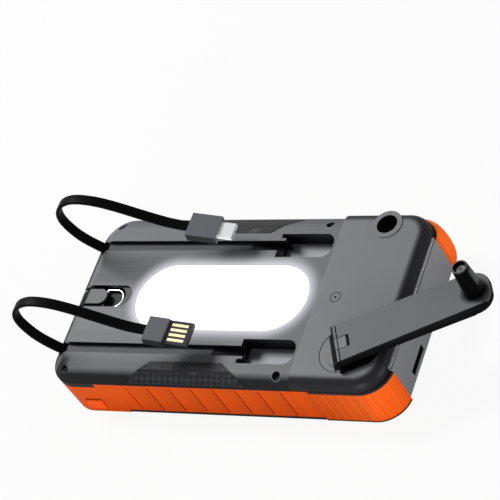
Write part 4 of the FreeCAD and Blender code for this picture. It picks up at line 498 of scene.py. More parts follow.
def housing_plastic(look):
    """Crank housing: mid grey face, painted shade that takes the rounding nearly black, painted
    shade in the stowing hole.
    """
    finish = Finish("housing_plastic")
    height = finish.z - HOUSING_TOP
    # Painted shade on the housing's rounding.
    rounding = finish.from_corner(*HOUSING_CORNER).rise(6.6, 9.8) * height.fall(0.1, 0.3)
    # Painted shade inside the stowing hole.
    from_hole = length(finish.x - CRANK_X, finish.y - STOW_Y) - STOW_RADIUS
    hole = from_hole.fall(-0.05, 0.05) * height.fall(0.2, 0.4)
    tone = finish.coats(look.housing, (rounding, look.housing_side_shade), (hole, look.black))
    return finish.moulding(tone, 0.45)


def panel_plastic(look):
    """End panel: mid grey, painted light on the strip along its top, black joint line under it and
    painted shade in the slot.
    """
    finish = Finish("panel_plastic")
    depth = LEDGE_TOP - finish.z
    # Painted shade in the slot.
    slot = finish.x.fall(85.2, 85.7) * finish.z.fall(8, 9)
    line = depth.band(0.25, 0.4, 0.9, 1.1)
    # Painted light on the strip along the panel's top.
    tone = finish.coats(
        look.panel, (depth.fall(0.15, 0.3), look.ledge_painted_light), (slot.above(line), look.black)
    )
    return finish.moulding(tone, 0.45)


def orange_rubber(look):
    """Soft orange rubber: painted shade across the ribs, in the guard's grooves and on the lower
    edge, painted light on the crank end, in the corner grooves and on the corner pad, grain, pale
    scuffs.
    """
    finish = Finish("orange_rubber")
    x, z = finish.x, finish.z
    grain = finish.noise(3.0, 3.0)
    scuff = finish.noise(0.35, 4.0, (1.0, 1.0, 3.0)).rise(0.62, 0.75)
    # Painted light: the orange gets brighter towards the crank end.
    crank_end = x.rise(44, 76)
    bumper = x.band(-44.6, -43.6, 40, 41)
    # Painted shade: each bumper rib goes darker across its pitch.
    rib_shade = (x - RIB_START).fold(RIB_PITCH) / RIB_PITCH
    guard = x.band(45, 46, 71.5, 72.3)
    # Painted shade across each of the guard's ribs, and in the grooves below.
    guard_rib = (x - GUARD_START).fold(GUARD_PITCH) / GUARD_PITCH
    groove = guard * guard_rib.near(0.5, 0.04, 0.11)
    from_corner = finish.from_corner(*PAD_MIDDLE)
    # Painted light in the corner guards' grooves, against their shade.
    corner_groove_light = from_corner.fall(13.1, 13.35) * x.rise(-62, -60)
    # Painted highlight on the corner pad.
    pad = from_corner.rise(13.6, 14.2)
    # Painted shade along the lowest edge of the crank end's rubber.
    foot_shade = z.fall(0.7, 1.2) * x.rise(40, 50)
    tone = finish.coats(
        look.rubber,
        (z.fall(1.0, 21.0), look.rubber_low),
        (crank_end, look.rubber_painted_light),
        (scuff * 0.14, look.rubber_scuff),
    )
    tone = finish.shaded(
        tone,
        (finish.noise(0.09, 3.0), 0.94, 1.05),
        (rib_shade * bumper + guard_rib * guard, 1.04, 0.86),
        (groove, 1.0, 0.92),
        (foot_shade, 1.0, 0.04),
        (corner_groove_light, 1.0, 1.1),
        (corner_groove_light * crank_end, 1.0, 1.2),
        (pad, 1.0, 1.3),
    )
    return finish.close(
        Base_Color=tone,
        Roughness=(grain - 0.5) * 0.16 + 0.6,
        Specular_IOR_Level=0.1,
        Normal=finish.bump(grain * 0.1 - groove, 0.15),
    )


def woven_inlay(look):
    """Woven grip sheet: diagonal threads over and under, painted shade along the upper edge, black
    border line.
    """
    finish = Finish("woven_inlay")
    x, y = finish.x, finish.y
    side = abs(y)
    upper = finish.z.rise(24.6, 25.8)
    pitch_x, pitch_y = WEAVE_PITCH
    across = abs(x.centred(pitch_x)) / (pitch_x / 2)
    down = abs(side.centred(pitch_y)) / (pitch_y / 2)
    over = (across + down).fall(0.75, 1.15) * (0.45 + x.fold(pitch_x).rise(1.3, 1.7) * 0.55)
    thread = (x + y).wave(THREAD_RATE) * over + (x - y).wave(THREAD_RATE) * (1 - over)
    streak = finish.noise(0.5, 3.0, (0.25, 0.8, 0.25)).rise(0.55, 0.75) * upper

    def from_slant(beyond_low, run):
        """Distance inwards from a slanted end that draws in by run towards the upper edge."""
        width = INLAY_OUT - INLAY_IN
        return (beyond_low * width + (side - INLAY_OUT) * run) / math.hypot(width, run)

    left = from_slant(x - INLAY_LOW[0], INLAY_TOP[0] - INLAY_LOW[0])
    right = from_slant(INLAY_LOW[1] - x, INLAY_LOW[1] - INLAY_TOP[1])
    border = left.below(right).below(side - INLAY_IN).fall(0.25, 0.45)
    # Painted shade: the threads that go over are darker along the upper edge.
    tone = finish.coats(
        look.weave_dark, (over * (1 - upper * 0.6), look.weave_light),
        (streak * 0.3, look.worn_edge_and_highlight),
    )
    tone = finish.shaded(tone, (thread, 0.75, 1.2), (finish.noise(0.08), 0.85, 1.15))
    return finish.close(
        Base_Color=finish.mix(border, tone, look.black),
        Roughness=over * 0.2 + 0.4,
        Specular_IOR_Level=0.2,
        Normal=finish.bump(over * 0.6 + thread * 0.4, 0.08),
    )


def lead_rubber(look):
    """Satin black lead with faint drawn lines along it."""
    finish = Finish("lead_rubber")
    grain = finish.noise(2.5)
    tone = finish.mix(finish.noise(0.12), look.lead, look.lead_light)
    return finish.close(
        Base_Color=finish.shaded(tone, (grain, 0.85, 1.15)),
        Roughness=(grain - 0.5) * 0.14 + 0.42,
        Specular_IOR_Level=0.03,
        Normal=finish.bump(finish.y.wave(9.0) * 0.6 + grain * 0.4, 0.02),
    )


def arm_lines(along):
    """1 on the root of the arm or lug, painted shade on its end, and on the dark line beside the
    hinge.
    """
    return along.fall(ARM_ROOT - 0.1, ARM_ROOT + 0.2).above(along.near(HINGE_LINE, 0.2, 0.3))


def arm_mask(finish):
    """1 on the arm's sides and root end (painted shade), on the hinge line, along the near edge
    (painted shade) and round the knob (painted shadow).
    """
    along, across = finish.on_arm()
    # Painted shade: the arm's sides go nearly black.
    side = (finish.z - ARM_TOP).fall(-0.5, -0.1)
    # Painted shadow round the knob's foot.
    knob_shadow = length(along - KNOB_ALONG, across).fall(4.8, 7.4)
    # Painted shade in a band along the near edge, on that side only.
    edge = (across - along * 0.026).fall(-9.45, -9.15)
    return side.above(arm_lines(along)).above(knob_shadow * 0.85).above(edge)


def disc_mask(finish):
    """1 on the disc's rim and under the arm (painted shade), behind the arm's root (painted
    shadow) and on the lines of the lug.
    """
    along, across = finish.on_arm()
    # Painted shade on the disc's rim below the housing's face and on the riser under the arm.
    rim = (finish.z - HOUSING_TOP).fall(-1.6, -0.4)
    # Painted shadow on the disc behind and round the arm's root.
    behind = (along - finish.z * 0.3).rise(-14.0, -13.8) * abs(across).fall(9.4, 9.8)
    under = (finish.z - ARM_TOP).fall(-0.7, -0.4)
    lug_line = along.rise(LUG_LINE - 0.15, LUG_LINE + 0.15)
    dark = rim.above(under * behind).above(lug_line).above(arm_lines(along))
    return dark * rim.above(behind).above((finish.z - ARM_LOW).rise(0, 0.2))


def gloss_black(look, name="gloss_black", painted_highlight=None):
    """Semi-gloss black with faint wear; painted_highlight gives the share of a grey painted
    highlight.
    """
    finish = Finish(name)
    wear = finish.noise(0.6, 3.0)
    tone = finish.mix(wear.rise(0.5, 0.8), look.black, look.black_worn)
    if painted_highlight:
        tone = finish.mix(painted_highlight(finish), tone, look.rubbed)
    return finish.close(
        Base_Color=tone,
        Roughness=wear * 0.16 + 0.22,
        Specular_IOR_Level=0.05,
        Normal=finish.bump(finish.noise(1.2), 0.01),
    )


def knob_painted_highlight(finish):
    """Painted highlight on the knob's rim and on one side of it."""
    along, across = finish.on_arm()
    along = along - KNOB_ALONG
    facing = along * math.cos(KNOB_HIGHLIGHT_TURN) + across * math.sin(KNOB_HIGHLIGHT_TURN)
    share = facing / length(along, across).above(0.1)
    highlight_stripe = share.rise(0.82, 0.98) * finish.z.band(*KNOB_HIGHLIGHT_HEIGHTS)
    return (highlight_stripe * 0.8).above(finish.z.rise(KNOB_RIM - 0.1, KNOB_RIM + 0.1))


def lamp_diffuser(look):
    """Milky lens, lit: brighter over the lamps behind it."""
    finish = Finish("lamp_diffuser")
    pitch_x, pitch_y = LED_PITCH
    spot_x = (finish.x - LAMP_X + pitch_x / 2).centred(pitch_x)
    spot_y = (finish.y + pitch_y / 2).centred(pitch_y)
    frost = finish.noise(1.5)
    return finish.close(
        Base_Color=finish.grey(frost, 0.8, 0.86),
        Roughness=frost * 0.1 + 0.3,
        Emission_Color=finish.mix(length(spot_x, spot_y).fall(0.5, 6.0), look.glow, [1, 1, 1]),
        Emission_Strength=LENS_LIGHT,
        Normal=finish.bump(frost, 0.01),
    )


def metal(name, colour, worn, rough, brushed=(1.0, 1.0, 1.0), scale=1.5, bare=1.0):
    """Bare or thinly coated metal with fine tool marks."""
    finish = Finish(name)
    marks = finish.noise(scale, 4.0, brushed)
    return finish.close(
        Base_Color=finish.mix(finish.noise(0.3).rise(0.4, 0.75), colour, worn),
        Metallic=bare,
        Roughness=marks * 0.2 + rough,
        Normal=finish.bump(marks, 0.008),
    )


def solar_glass():
    """Solar panes: dark blue cells, pale grid fingers and wide bus bars."""
    finish = Finish("solar_glass")
    cell = (finish.x - SOLAR_START).fold(CELL_PITCH)
    side = abs(finish.y)
    finger = cell.centred(FINGER_PITCH).near(0, 0.05, 0.1)
    gap = cell.fall(0.25, 0.4).above(side.rise(SOLAR_HALF, SOLAR_HALF + 0.2))
    crystal = finish.noise(0.35, 3.0)
    tone = finish.coats(
        finish.mix(crystal, srgb(18, 24, 58), srgb(30, 40, 84)),
        (finger * 0.5, srgb(120, 126, 140)),
        (side.near(BUS_BAR, 0.45, 0.6), srgb(176, 178, 184)),
        (gap, srgb(12, 12, 16)),
    )
    return finish.close(
        Base_Color=tone, Roughness=crystal * 0.1 + 0.12, Coat_Weight=0.5, Coat_Roughness=0.05
    )


def circuit_board():
    """Green board with lighter tracks and bright pads."""
    finish = Finish("circuit_board")
    x, y = finish.x, finish.y
    track = (x + finish.noise(0.25, 0.0) * 14).centred(1.6).near(0, 0.18, 0.26)
    pad = length((x + 0.3).centred(4.2), (y + 0.9).centred(5.4)).fall(0.45, 0.55)
    tone = finish.coats(
        srgb(20, 84, 46), (track * 0.6, srgb(44, 122, 70)), (pad, srgb(190, 180, 150))
    )
    return finish.close(
        Base_Color=tone, Metallic=pad * 0.8, Roughness=0.45 - pad * 0.15,
        Normal=finish.bump(track + pad, 0.02),
    )


def cell_foil():
    """Creased silver pouch of a battery cell."""
    finish = Finish("cell_foil")
    crease = finish.noise(0.25, 4.0, (1.0, 0.4, 1.0))
    return finish.close(
        Base_Color=finish.grey(crease, 0.5, 0.72), Metallic=0.9,
        Roughness=crease * 0.2 + 0.25, Normal=finish.bump(crease, 0.2),
    )


def foam():
    """Open grey foam."""
    finish = Finish("foam")
    pores = finish.noise(2.2, 4.0)
    return finish.close(
        Base_Color=finish.mix(pores, srgb(50, 50, 54), srgb(104, 104, 108)),
        Roughness=0.95, Normal=finish.bump(pores, 0.3),
    )


def pale_plastic(name, low, high, rough):
    """Plain plastic that drifts between two colours."""
    finish = Finish(name)
    grain = finish.noise(3.0)
    return finish.close(
        Base_Color=finish.mix(finish.noise(0.2), low, high), Roughness=grain * 0.1 + rough,
        Normal=finish.bump(grain, 0.015),
    )


def lamp_resin():
    """Yellow resin over the lamp's diodes."""
    finish = Finish("lamp_resin")
    dome = finish.noise(1.4)
    return finish.close(
        Base_Color=finish.mix(dome, srgb(240, 206, 96), srgb(252, 232, 150)),
        Roughness=dome * 0.1 + 0.25,
    )


# ---- Mesh helpers ------------------------------------------------
def piece(name, points, faces, body, material, smooth=True):
    """A mesh piece from points in millimetres, riding on a body."""
    mesh = bpy.data.meshes.new(name)
    mesh.from_pydata([[v * MM for v in p] for p in points], [], faces)
    mesh.validate()
    shape = bmesh.new()
    shape.from_mesh(mesh)
    bmesh.ops.recalc_face_normals(shape, faces=shape.faces)
    shape.to_mesh(mesh)
    shape.free()
    made = bpy.data.objects.new(name, mesh)
    bpy.context.scene.collection.objects.link(made)
    if smooth:
        mesh.shade_smooth()
        mesh.set_sharp_from_angle(angle=math.radians(35))
    mesh.materials.append(material)
    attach(made, body)
    return made


def rings(loops, count, closed):
    """Faces between loops of count points each, the last back to the first where closed."""
    return [
        (
            i * count + k,
            (i + 1) % loops * count + k,
            (i + 1) % loops * count + (k + 1) % count,
            i * count + (k + 1) % count,
        )
        for i in range(loops if closed else loops - 1)
        for k in range(count)
    ]


def tube(loops, count):
    """Faces of loops of count points each, with a face over each end."""
    last = (loops - 1) * count
    return rings(loops, count, False) + [
        tuple(range(count)), tuple(last + k for k in reversed(range(count)))
    ]


def flat_ring(low, high, inner, outer, centre, steps=48):
    """Points and faces of a flat ring about the vertical at centre."""
    points = []
    for i in range(steps):
        angle = 2 * math.pi * i / steps
        points += [
            (centre[0] + r * math.cos(angle), centre[1] + r * math.sin(angle), z)
            for r, z in ((inner, low), (inner, high), (outer, high), (outer, low))
        ]
    return points, rings(steps, 4, True)


def block(low, high):
    """Points and faces of a box between two corners."""
    points = [(x, y, z) for x in (low[0], high[0]) for y in (low[1], high[1])
              for z in (low[2], high[2])]
    faces = [(0, 1, 3, 2), (4, 6, 7, 5), (0, 4, 5, 1), (2, 3, 7, 6), (0, 2, 6, 4), (1, 5, 7, 3)]
    return points, faces


def slab(outline, low, high):
    """Points and faces of an outline in plan, from one height to another."""
    points = [(x, y, z) for z in (low, high) for x, y in outline]
    return points, tube(2, len(outline))


def joined(*shapes):
    """Several (points, faces) as one."""
    points, faces = [], []
    for some_points, some_faces in shapes:
        start = len(points)
        points += some_points
        faces += [tuple(start + i for i in face) for face in some_faces]
    return points, faces


def dress(material, *nodes):
    """Give CAD nodes one finish."""
    for name in nodes:
        slots = NODES[name].data.materials
        for i in range(len(slots)):
            slots[i] = material
        if not slots:
            slots.append(material)


# ---- What a user would change ------------------------------------
def tint(name, description, *colour):
    """A colour to choose, from its screen colour."""
    return bpy.props.FloatVectorProperty(
        name=name, description=description, subtype="COLOR", size=3, min=0, max=1,
        default=srgb(*colour),
    )


class BankColours(bpy.types.PropertyGroup):
    """Colours of the finishes."""

    cover: tint("Cover", "Upper face of the cover", 116, 117, 120)
    # Painted shade on the cover's sloped border.
    cover_slope_shade: tint("Cover slope", "Sloped border of the cover", 12, 12, 14)
    # Painted shade on the floor of the lead grooves.
    lead_bed_shade: tint("Lead bed", "Floor of the lead grooves", 66, 67, 70)
    # Painted shade on the floor of the scoop.
    scoop: tint("Scoop", "Shallow scoop behind the hook", 84, 85, 88)
    # Painted light: paler floor of the plug pockets.
    pocket_floor_painted_light: tint("Pocket floor", "Floor of the plug pockets", 184, 185, 190)
    # Painted shade: the darker patch on the rear side by the hook.
    brushed: tint("Brushed patch", "Rubbed patch by the hook", 76, 77, 80)
    panel: tint("End panel", "Panel under the crank housing", 144, 145, 148)
    # Painted light on the top strip of the end panel.
    ledge_painted_light: tint("Ledge", "Top edge of the end panel", 212, 213, 216)
    housing: tint("Housing", "Upper face of the crank housing", 128, 129, 132)
    # Painted shade on the housing's rounding.
    housing_side_shade: tint("Housing side", "Rounding of the crank housing", 28, 28, 31)
    # Also the painted highlight on the rims of the screw wells.
    worn_edge_and_highlight: tint("Worn edge", "Light line where plastic is rubbed", 176, 177, 180)
    tongue: tint("Tongue", "Tongue of the lanyard hook", 99, 100, 103)
    arm: tint("Arm", "Upper face of the crank arm", 120, 121, 124)
    # Painted shade on the arm's sides, root and near edge.
    arm_side_shade: tint("Arm side", "Edges of the crank arm", 3, 3, 4)
    rubber: tint("Rubber", "Orange bumpers", 233, 87, 6)
    rubber_low: tint("Rubber, low", "Orange near the sill", 222, 80, 7)
    # Painted light on the crank end's orange.
    rubber_painted_light: tint("Rubber, bright", "Orange of the crank end", 254, 106, 28)
    rubber_scuff: tint("Rubber scuff", "Rubbed orange", 250, 160, 110)
    weave_dark: tint("Weave, dark", "Threads that go under", 26, 26, 28)
    weave_light: tint("Weave, light", "Threads that go over", 54, 55, 58)
    lead: tint("Lead", "Flat leads", 4, 4, 5)
    lead_light: tint("Lead, light", "Rubbed stretches of the leads", 9, 9, 10)
    # Painted highlight on one side and on the rim of the knob.
    rubbed: tint("Rubbed", "Polished side and rim of the knob", 104, 105, 108)
    # Black trim, and also the painted shade in the cover's hollows, wells, corner and end edge, in
    # the housing's stowing hole and the panel's slot, on the crank disc and on the hook tongue's
    # sides.
    black: tint("Black", "Black trim", 2, 2, 3)
    black_worn: tint("Black, worn", "Rubbed black trim", 7, 7, 8)
    # Also the colour of the painted glow on the cover round the lens.
    glow: tint("Lamp glow", "Light of the lamp", 246, 248, 255)


class BankSizes(bpy.types.PropertyGroup):
    """Sizes of the pieces made here."""

    lead_width: bpy.props.FloatProperty(
        name="Lead width", description="Flat lead, across", default=4.8 * MM, unit="LENGTH"
    )
    lead_thick: bpy.props.FloatProperty(
        name="Lead thickness", description="Flat lead, thick", default=1.6 * MM, unit="LENGTH"
    )
    lead_length: bpy.props.FloatProperty(
        name="Lead length", description="Free length of a lead", default=0.104, unit="LENGTH"
    )


# ---- Operators ---------------------------------------------------
class BANK_OT_camera(bpy.types.Operator):
    """Set the camera that looks down at the crank end from the button side"""

    bl_idname = "bank.camera"
    bl_label = "Camera"

    def execute(self, context):
        lens = bpy.data.cameras.new("camera")
        lens.lens = CAMERA_LENS
        lens.sensor_width = CAMERA_SENSOR
        lens.clip_start, lens.clip_end = CAMERA_REACH
        camera = bpy.data.objects.new("camera", lens)
        back = Vector(CAMERA_BACK).normalized()
        up = back.cross(Vector(CAMERA_RIGHT)).normalized()
        turn = Matrix((up.cross(back), up, back)).transposed().to_4x4()
        camera.matrix_world = Matrix.Translation(CAMERA_PLACE) @ turn
        context.scene.collection.objects.link(camera)
        context.scene.camera = camera
        return {"FINISHED"}


class BANK_OT_leads(bpy.types.Operator):
    """Draw the two flat leads along their routes"""

    bl_idname = "bank.leads"
    bl_label = "Flat leads"

    def execute(self, context):
        look = context.scene.bank_colours
        sizes = context.scene.bank_sizes
        rubber = lead_rubber(look)
        for which, pieces in (
            ("front", ["front_plug_body", "front_plug_tongue", "front_plug_contacts"]),
            ("rear", ["rear_plug_body", "rear_plug_shell"]),
        ):
            line = self.line(which)
            made = self.ribbon(f"lead_{which}", line, sizes, rubber)
            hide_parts(f"flat_lead_{which}")
        dress(rubber, "lead_grommet_front", "lead_grommet_rear")
        return {"FINISHED"}

    def line(self, which):
        """Points of the lead's spline, from its exit to its plug."""
        end_x, end_z = PLUG_ENDS[which]
        before = (
            end_x - LEAD_LAST_RUN * math.cos(PLUG_TILT),
            end_z + LEAD_LAST_RUN * math.sin(PLUG_TILT),
        )
        route = [LEAD_EXIT, *LEAD_ROUTE, before, (end_x, end_z)]
        curve = bpy.data.curves.new(f"route_{which}", "CURVE")
        curve.dimensions = "3D"
        curve.resolution_u = 16
        spline = curve.splines.new("NURBS")
        spline.points.add(len(route) - 1)
        for point, (x, z) in zip(spline.points, route):
            point.co = (x, LEAD_SIDE[which], z, 1)
        spline.order_u = 3
        spline.use_endpoint_u = True
        holder = bpy.data.objects.new(f"route_{which}", curve)
        bpy.context.scene.collection.objects.link(holder)
        mesh = bpy.data.meshes.new_from_object(holder)
        line = [v.co.copy() for v in mesh.vertices]
        bpy.data.objects.remove(holder)
        return line

    def ribbon(self, name, line, sizes, rubber):
        """A soft-edged flat tube along the line, its width along Y."""
        half_width = sizes.lead_width / 2 / MM
        half_thick = sizes.lead_thick / 2 / MM
        round_edge = half_thick * LEAD_ROUND
        section = []
        for side, top in ((1, 1), (-1, 1), (-1, -1), (1, -1)):
            corner = [
                (half_width - round_edge + round_edge * math.cos(a),
                 half_thick - round_edge + round_edge * math.sin(a))
                for a in (math.radians(d) for d in (0, 30, 60, 90))
            ]
            if side * top < 0:
                corner.reverse()
            section += [(side * across, top * thick) for across, thick in corner]
        points = []
        for i, here in enumerate(line):
            ahead = line[min(i + 1, len(line) - 1)]
            behind = line[max(i - 1, 0)]
            way = (ahead - behind).normalized()
            out = Vector((-way.z, 0, way.x))
            points += [
                tuple(here / MM + Vector((0, across, 0)) + out * thick)
                for across, thick in section
            ]
        faces = tube(len(line), len(section))
        return piece(name, points, faces, "case", rubber)


class BANK_OT_case(bpy.types.Operator):
    """Finish the cover, the crank housing, the shell and the end panels"""

    bl_idname = "bank.case"
    bl_label = "Case"

    def execute(self, context):
        look = context.scene.bank_colours
        dress(cover_plastic(look), "top_cover")
        dress(housing_plastic(look), "crank_housing")
        dress(moulded("shell_plastic", srgb(26, 26, 28), srgb(40, 40, 43)), "lower_shell")
        dress(panel_plastic(look), "end_panel")
        dress(moulded("port_plastic", srgb(70, 71, 74), srgb(88, 89, 92)), "port_panel")
        dress(moulded("flap_rubber", srgb(34, 34, 36), srgb(46, 46, 49), rough=0.6), "port_flap")
        return {"FINISHED"}


class BANK_OT_bumpers(bpy.types.Operator):
    """Finish the rubber bumpers, the corner guards and the button, and add the corner pad"""

    bl_idname = "bank.bumpers"
    bl_label = "Bumpers"

    def execute(self, context):
        rubber = orange_rubber(context.scene.bank_colours)
        dress(
            rubber, "front_bumper", "rear_bumper", "front_corner_guard", "rear_corner_guard",
            "power_button",
        )
        points, faces = self.pad()
        piece("rear_corner_pad", points, faces, "case", rubber)
        return {"FINISHED"}

    def pad(self):
        """Grooved pad that squares off the far corner of the crank end."""
        start, stop, steps = PAD_ANGLES
        points = []
        for i in range(steps + 1):
            angle = math.radians(start + (stop - start) * i / steps)
            groove = PAD_GROOVE if i % PAD_GROOVE_STEPS == PAD_GROOVE_STEPS // 2 else 0
            loop = [(self.reach(angle, out) - groove, z) for z, out in PAD_OUT]
            loop += [(PAD_INNER, PAD_OUT[-1][0]), (PAD_INNER, PAD_OUT[0][0])]
            points += [
                (PAD_MIDDLE[0] + r * math.cos(angle), PAD_MIDDLE[1] + r * math.sin(angle), z)
                for r, z in loop
            ]
        return points, tube(steps + 1, len(PAD_OUT) + 2)

    def reach(self, angle, out):
        """Distance from the pad's middle to its face, a circle drawn out at 45 degrees."""
        power = 1 / (0.5 - math.log2(1 + out / PAD_REACH))
        cos, sin = math.cos(angle), math.sin(angle)
        return PAD_REACH / (cos ** power + sin ** power) ** (1 / power)


class BANK_OT_inlays(bpy.types.Operator):
    """Finish the woven grip inlays"""

    bl_idname = "bank.inlays"
    bl_label = "Grip inlays"

    def execute(self, context):
        dress(woven_inlay(context.scene.bank_colours), "grip_inlay_front", "grip_inlay_rear")
        return {"FINISHED"}


class BANK_OT_lamp(bpy.types.Operator):
    """Finish the lamp and light it"""

    bl_idname = "bank.lamp"
    bl_label = "Lamp"

    def execute(self, context):
        dress(lamp_diffuser(context.scene.bank_colours), "lamp_lens")
        white = pale_plastic("reflector_white", srgb(232, 232, 228), srgb(244, 244, 240), 0.35)
        dress(white, "lamp_reflector")
        dress(lamp_resin(), "lamp_leds")
        dress(circuit_board(), "lamp_board", "main_board")
        return {"FINISHED"}


class BANK_OT_hook(bpy.types.Operator):
    """Finish the hook tongue and the wire bail"""

    bl_idname = "bank.hook"
    bl_label = "Hook"

    def execute(self, context):
        look = context.scene.bank_colours
        # Painted shade: the tongue's sides and its left end go black; only the upper face keeps
        # the grey.
        tongue = moulded(
            "tongue_plastic", look.tongue, look.black,
            mask=lambda f: 1 - f.z.rise(24.8, 25.5) * (f.x + BODY_END).rise(1.5, 2.1),
        )
        dress(tongue, "hook_tongue")
        dress(metal("bail_chrome", srgb(236, 237, 240), srgb(206, 208, 212), 0.06), "bail")
        return {"FINISHED"}


class BANK_OT_plugs(bpy.types.Operator):
    """Finish the two plugs"""

    bl_idname = "bank.plugs"
    bl_label = "Plugs"

    def execute(self, context):
        # Painted shade: the long sides of the plug bodies go dark.
        body = moulded(
            "plug_plastic", srgb(104, 105, 109), srgb(34, 34, 37), rough=0.45,
            mask=lambda f: abs(abs(f.y) - LEAD_OFF).rise(5.95, 6.15),
        )
        dress(body, "front_plug_body", "rear_plug_body")
        # Painted shade: the long sides of the front plug's tongue go dark.
        tongue = moulded(
            "plug_tongue", srgb(58, 58, 61), srgb(12, 12, 13), rough=0.4,
            mask=lambda f: abs(abs(f.y) - LEAD_OFF).rise(5.8, 5.95),
        )
        dress(tongue, "front_plug_tongue")
        gold = metal(
            "contact_gold", srgb(236, 216, 180), srgb(218, 194, 152), 0.45,
            brushed=(0.4, 3.0, 1.0),
        )
        dress(gold, "front_plug_contacts")
        # Painted highlight: the shell is near white and hardly metallic, standing in for its
        # bright reflection.
        shell = metal(
            "plug_shell", srgb(252, 252, 253), srgb(244, 245, 247), 0.1,
            brushed=(0.4, 3.0, 3.0), scale=0.8, bare=0.15,
        )
        dress(shell, "rear_plug_shell")
        return {"FINISHED"}


class BANK_OT_crank(bpy.types.Operator):
    """Finish the crank disc, the folding arm and the knob, and add a black plate of painted shade
    under the arm
    """

    bl_idname = "bank.crank"
    bl_label = "Crank"

    def execute(self, context):
        look = context.scene.bank_colours
        disc = moulded("disc_plastic", look.housing, look.black, mask=disc_mask)
        dress(disc, "crank_disc")
        arm = moulded("arm_plastic", look.arm, look.arm_side_shade, mask=arm_mask, shine=0.1)
        dress(arm, "crank_arm", "knob_carrier")
        dress(gloss_black(look, "knob_black", knob_painted_highlight), "knob")
        self.shade_plate(look)
        return {"FINISHED"}

    def shade_plate(self, look):
        """Black plate on the disc under the root of the arm, painted shade where the arm shades
        it.
        """
        back, front = SHADE_PLATE_ENDS
        turns = [math.pi / 2 * i / SHADE_PLATE_STEPS for i in range(SHADE_PLATE_STEPS + 1)]
        side = [
            (front - SHADE_PLATE_CORNER * (1 - math.sin(t)), -SHADE_PLATE_HALF + SHADE_PLATE_CORNER * (1 - math.cos(t)))
            for t in turns
        ]
        side.insert(0, (back, -SHADE_PLATE_HALF))
        side += [(along, -across) for along, across in reversed(side)]
        cos, sin = math.cos(ARM_TURN), math.sin(ARM_TURN)
        outline = [
            (CRANK_X + along * cos - across * sin, CRANK_Y + along * sin + across * cos)
            for along, across in side
        ]
        points, faces = slab(outline, *SHADE_PLATE_HEIGHTS)
        piece("arm_shade_plate", points, faces, "crank", gloss_black(look), smooth=False)


class BANK_OT_metalwork(bpy.types.Operator):
    """Finish the screws, the gears, the generator, the sockets and the cells"""

    bl_idname = "bank.metalwork"
    bl_label = "Metalwork and inside"

    def execute(self, context):
        for name, (colour, worn, rough, nodes) in METALS.items():
            dress(metal(name, srgb(*colour), srgb(*worn), rough), *nodes)
        acetal = pale_plastic("gear_acetal", srgb(228, 226, 216), srgb(238, 236, 226), 0.35)
        dress(acetal, "drive_gear", "first_idler", "second_idler")
        bush = moulded("bush_plastic", srgb(28, 28, 30), srgb(40, 40, 42))
        dress(bush, "crank_bush", "tact_switch")
        dress(cell_foil(), "battery_cell_lower", "battery_cell_upper")
        dress(foam(), "foam_pad")
        dress(solar_glass(), "solar_panel")
        return {"FINISHED"}


class BANK_OT_trim(bpy.types.Operator):
    """Add black crosses as painted shade in the case screws' recesses, the ring mark and the
    recess of the knob's screw
    """

    bl_idname = "bank.trim"
    bl_label = "Trim"

    def execute(self, context):
        black = gloss_black(context.scene.bank_colours)
        half_length, half_width = CROSS_HALF
        low, high = CROSS_HEIGHTS
        crosses = [
            block((x - dx, y - dy, low), (x + dx, y + dy, high))
            for x in (WELL_MIDDLE - WELL_SPREAD, WELL_MIDDLE + WELL_SPREAD)
            for y in (-WELL_Y, WELL_Y)
            for dx, dy in ((half_length, half_width), (half_width, half_length))
        ]
        points, faces = joined(*crosses)
        piece("screw_recess_shade", points, faces, "case", black, smooth=False)
        ring = flat_ring(*RING_HEIGHTS, *RING_RADII, RING_MIDDLE)
        dot = flat_ring(*RING_HEIGHTS, NO_HOLE, DOT_RADIUS, RING_MIDDLE, 16)
        points, faces = joined(ring, dot)
        piece("ring_mark", points, faces, "case", black, smooth=False)
        knob = (
            CRANK_X + KNOB_ALONG * math.cos(ARM_TURN),
            CRANK_Y + KNOB_ALONG * math.sin(ARM_TURN),
        )
        points, faces = flat_ring(*RECESS_HEIGHTS, NO_HOLE, RECESS_RADIUS, knob, 6)
        red = pale_plastic("recess_red", srgb(66, 14, 18), srgb(44, 10, 12), 0.5)
        piece("knob_screw_recess", points, faces, "arm", red, smooth=False)
        return {"FINISHED"}


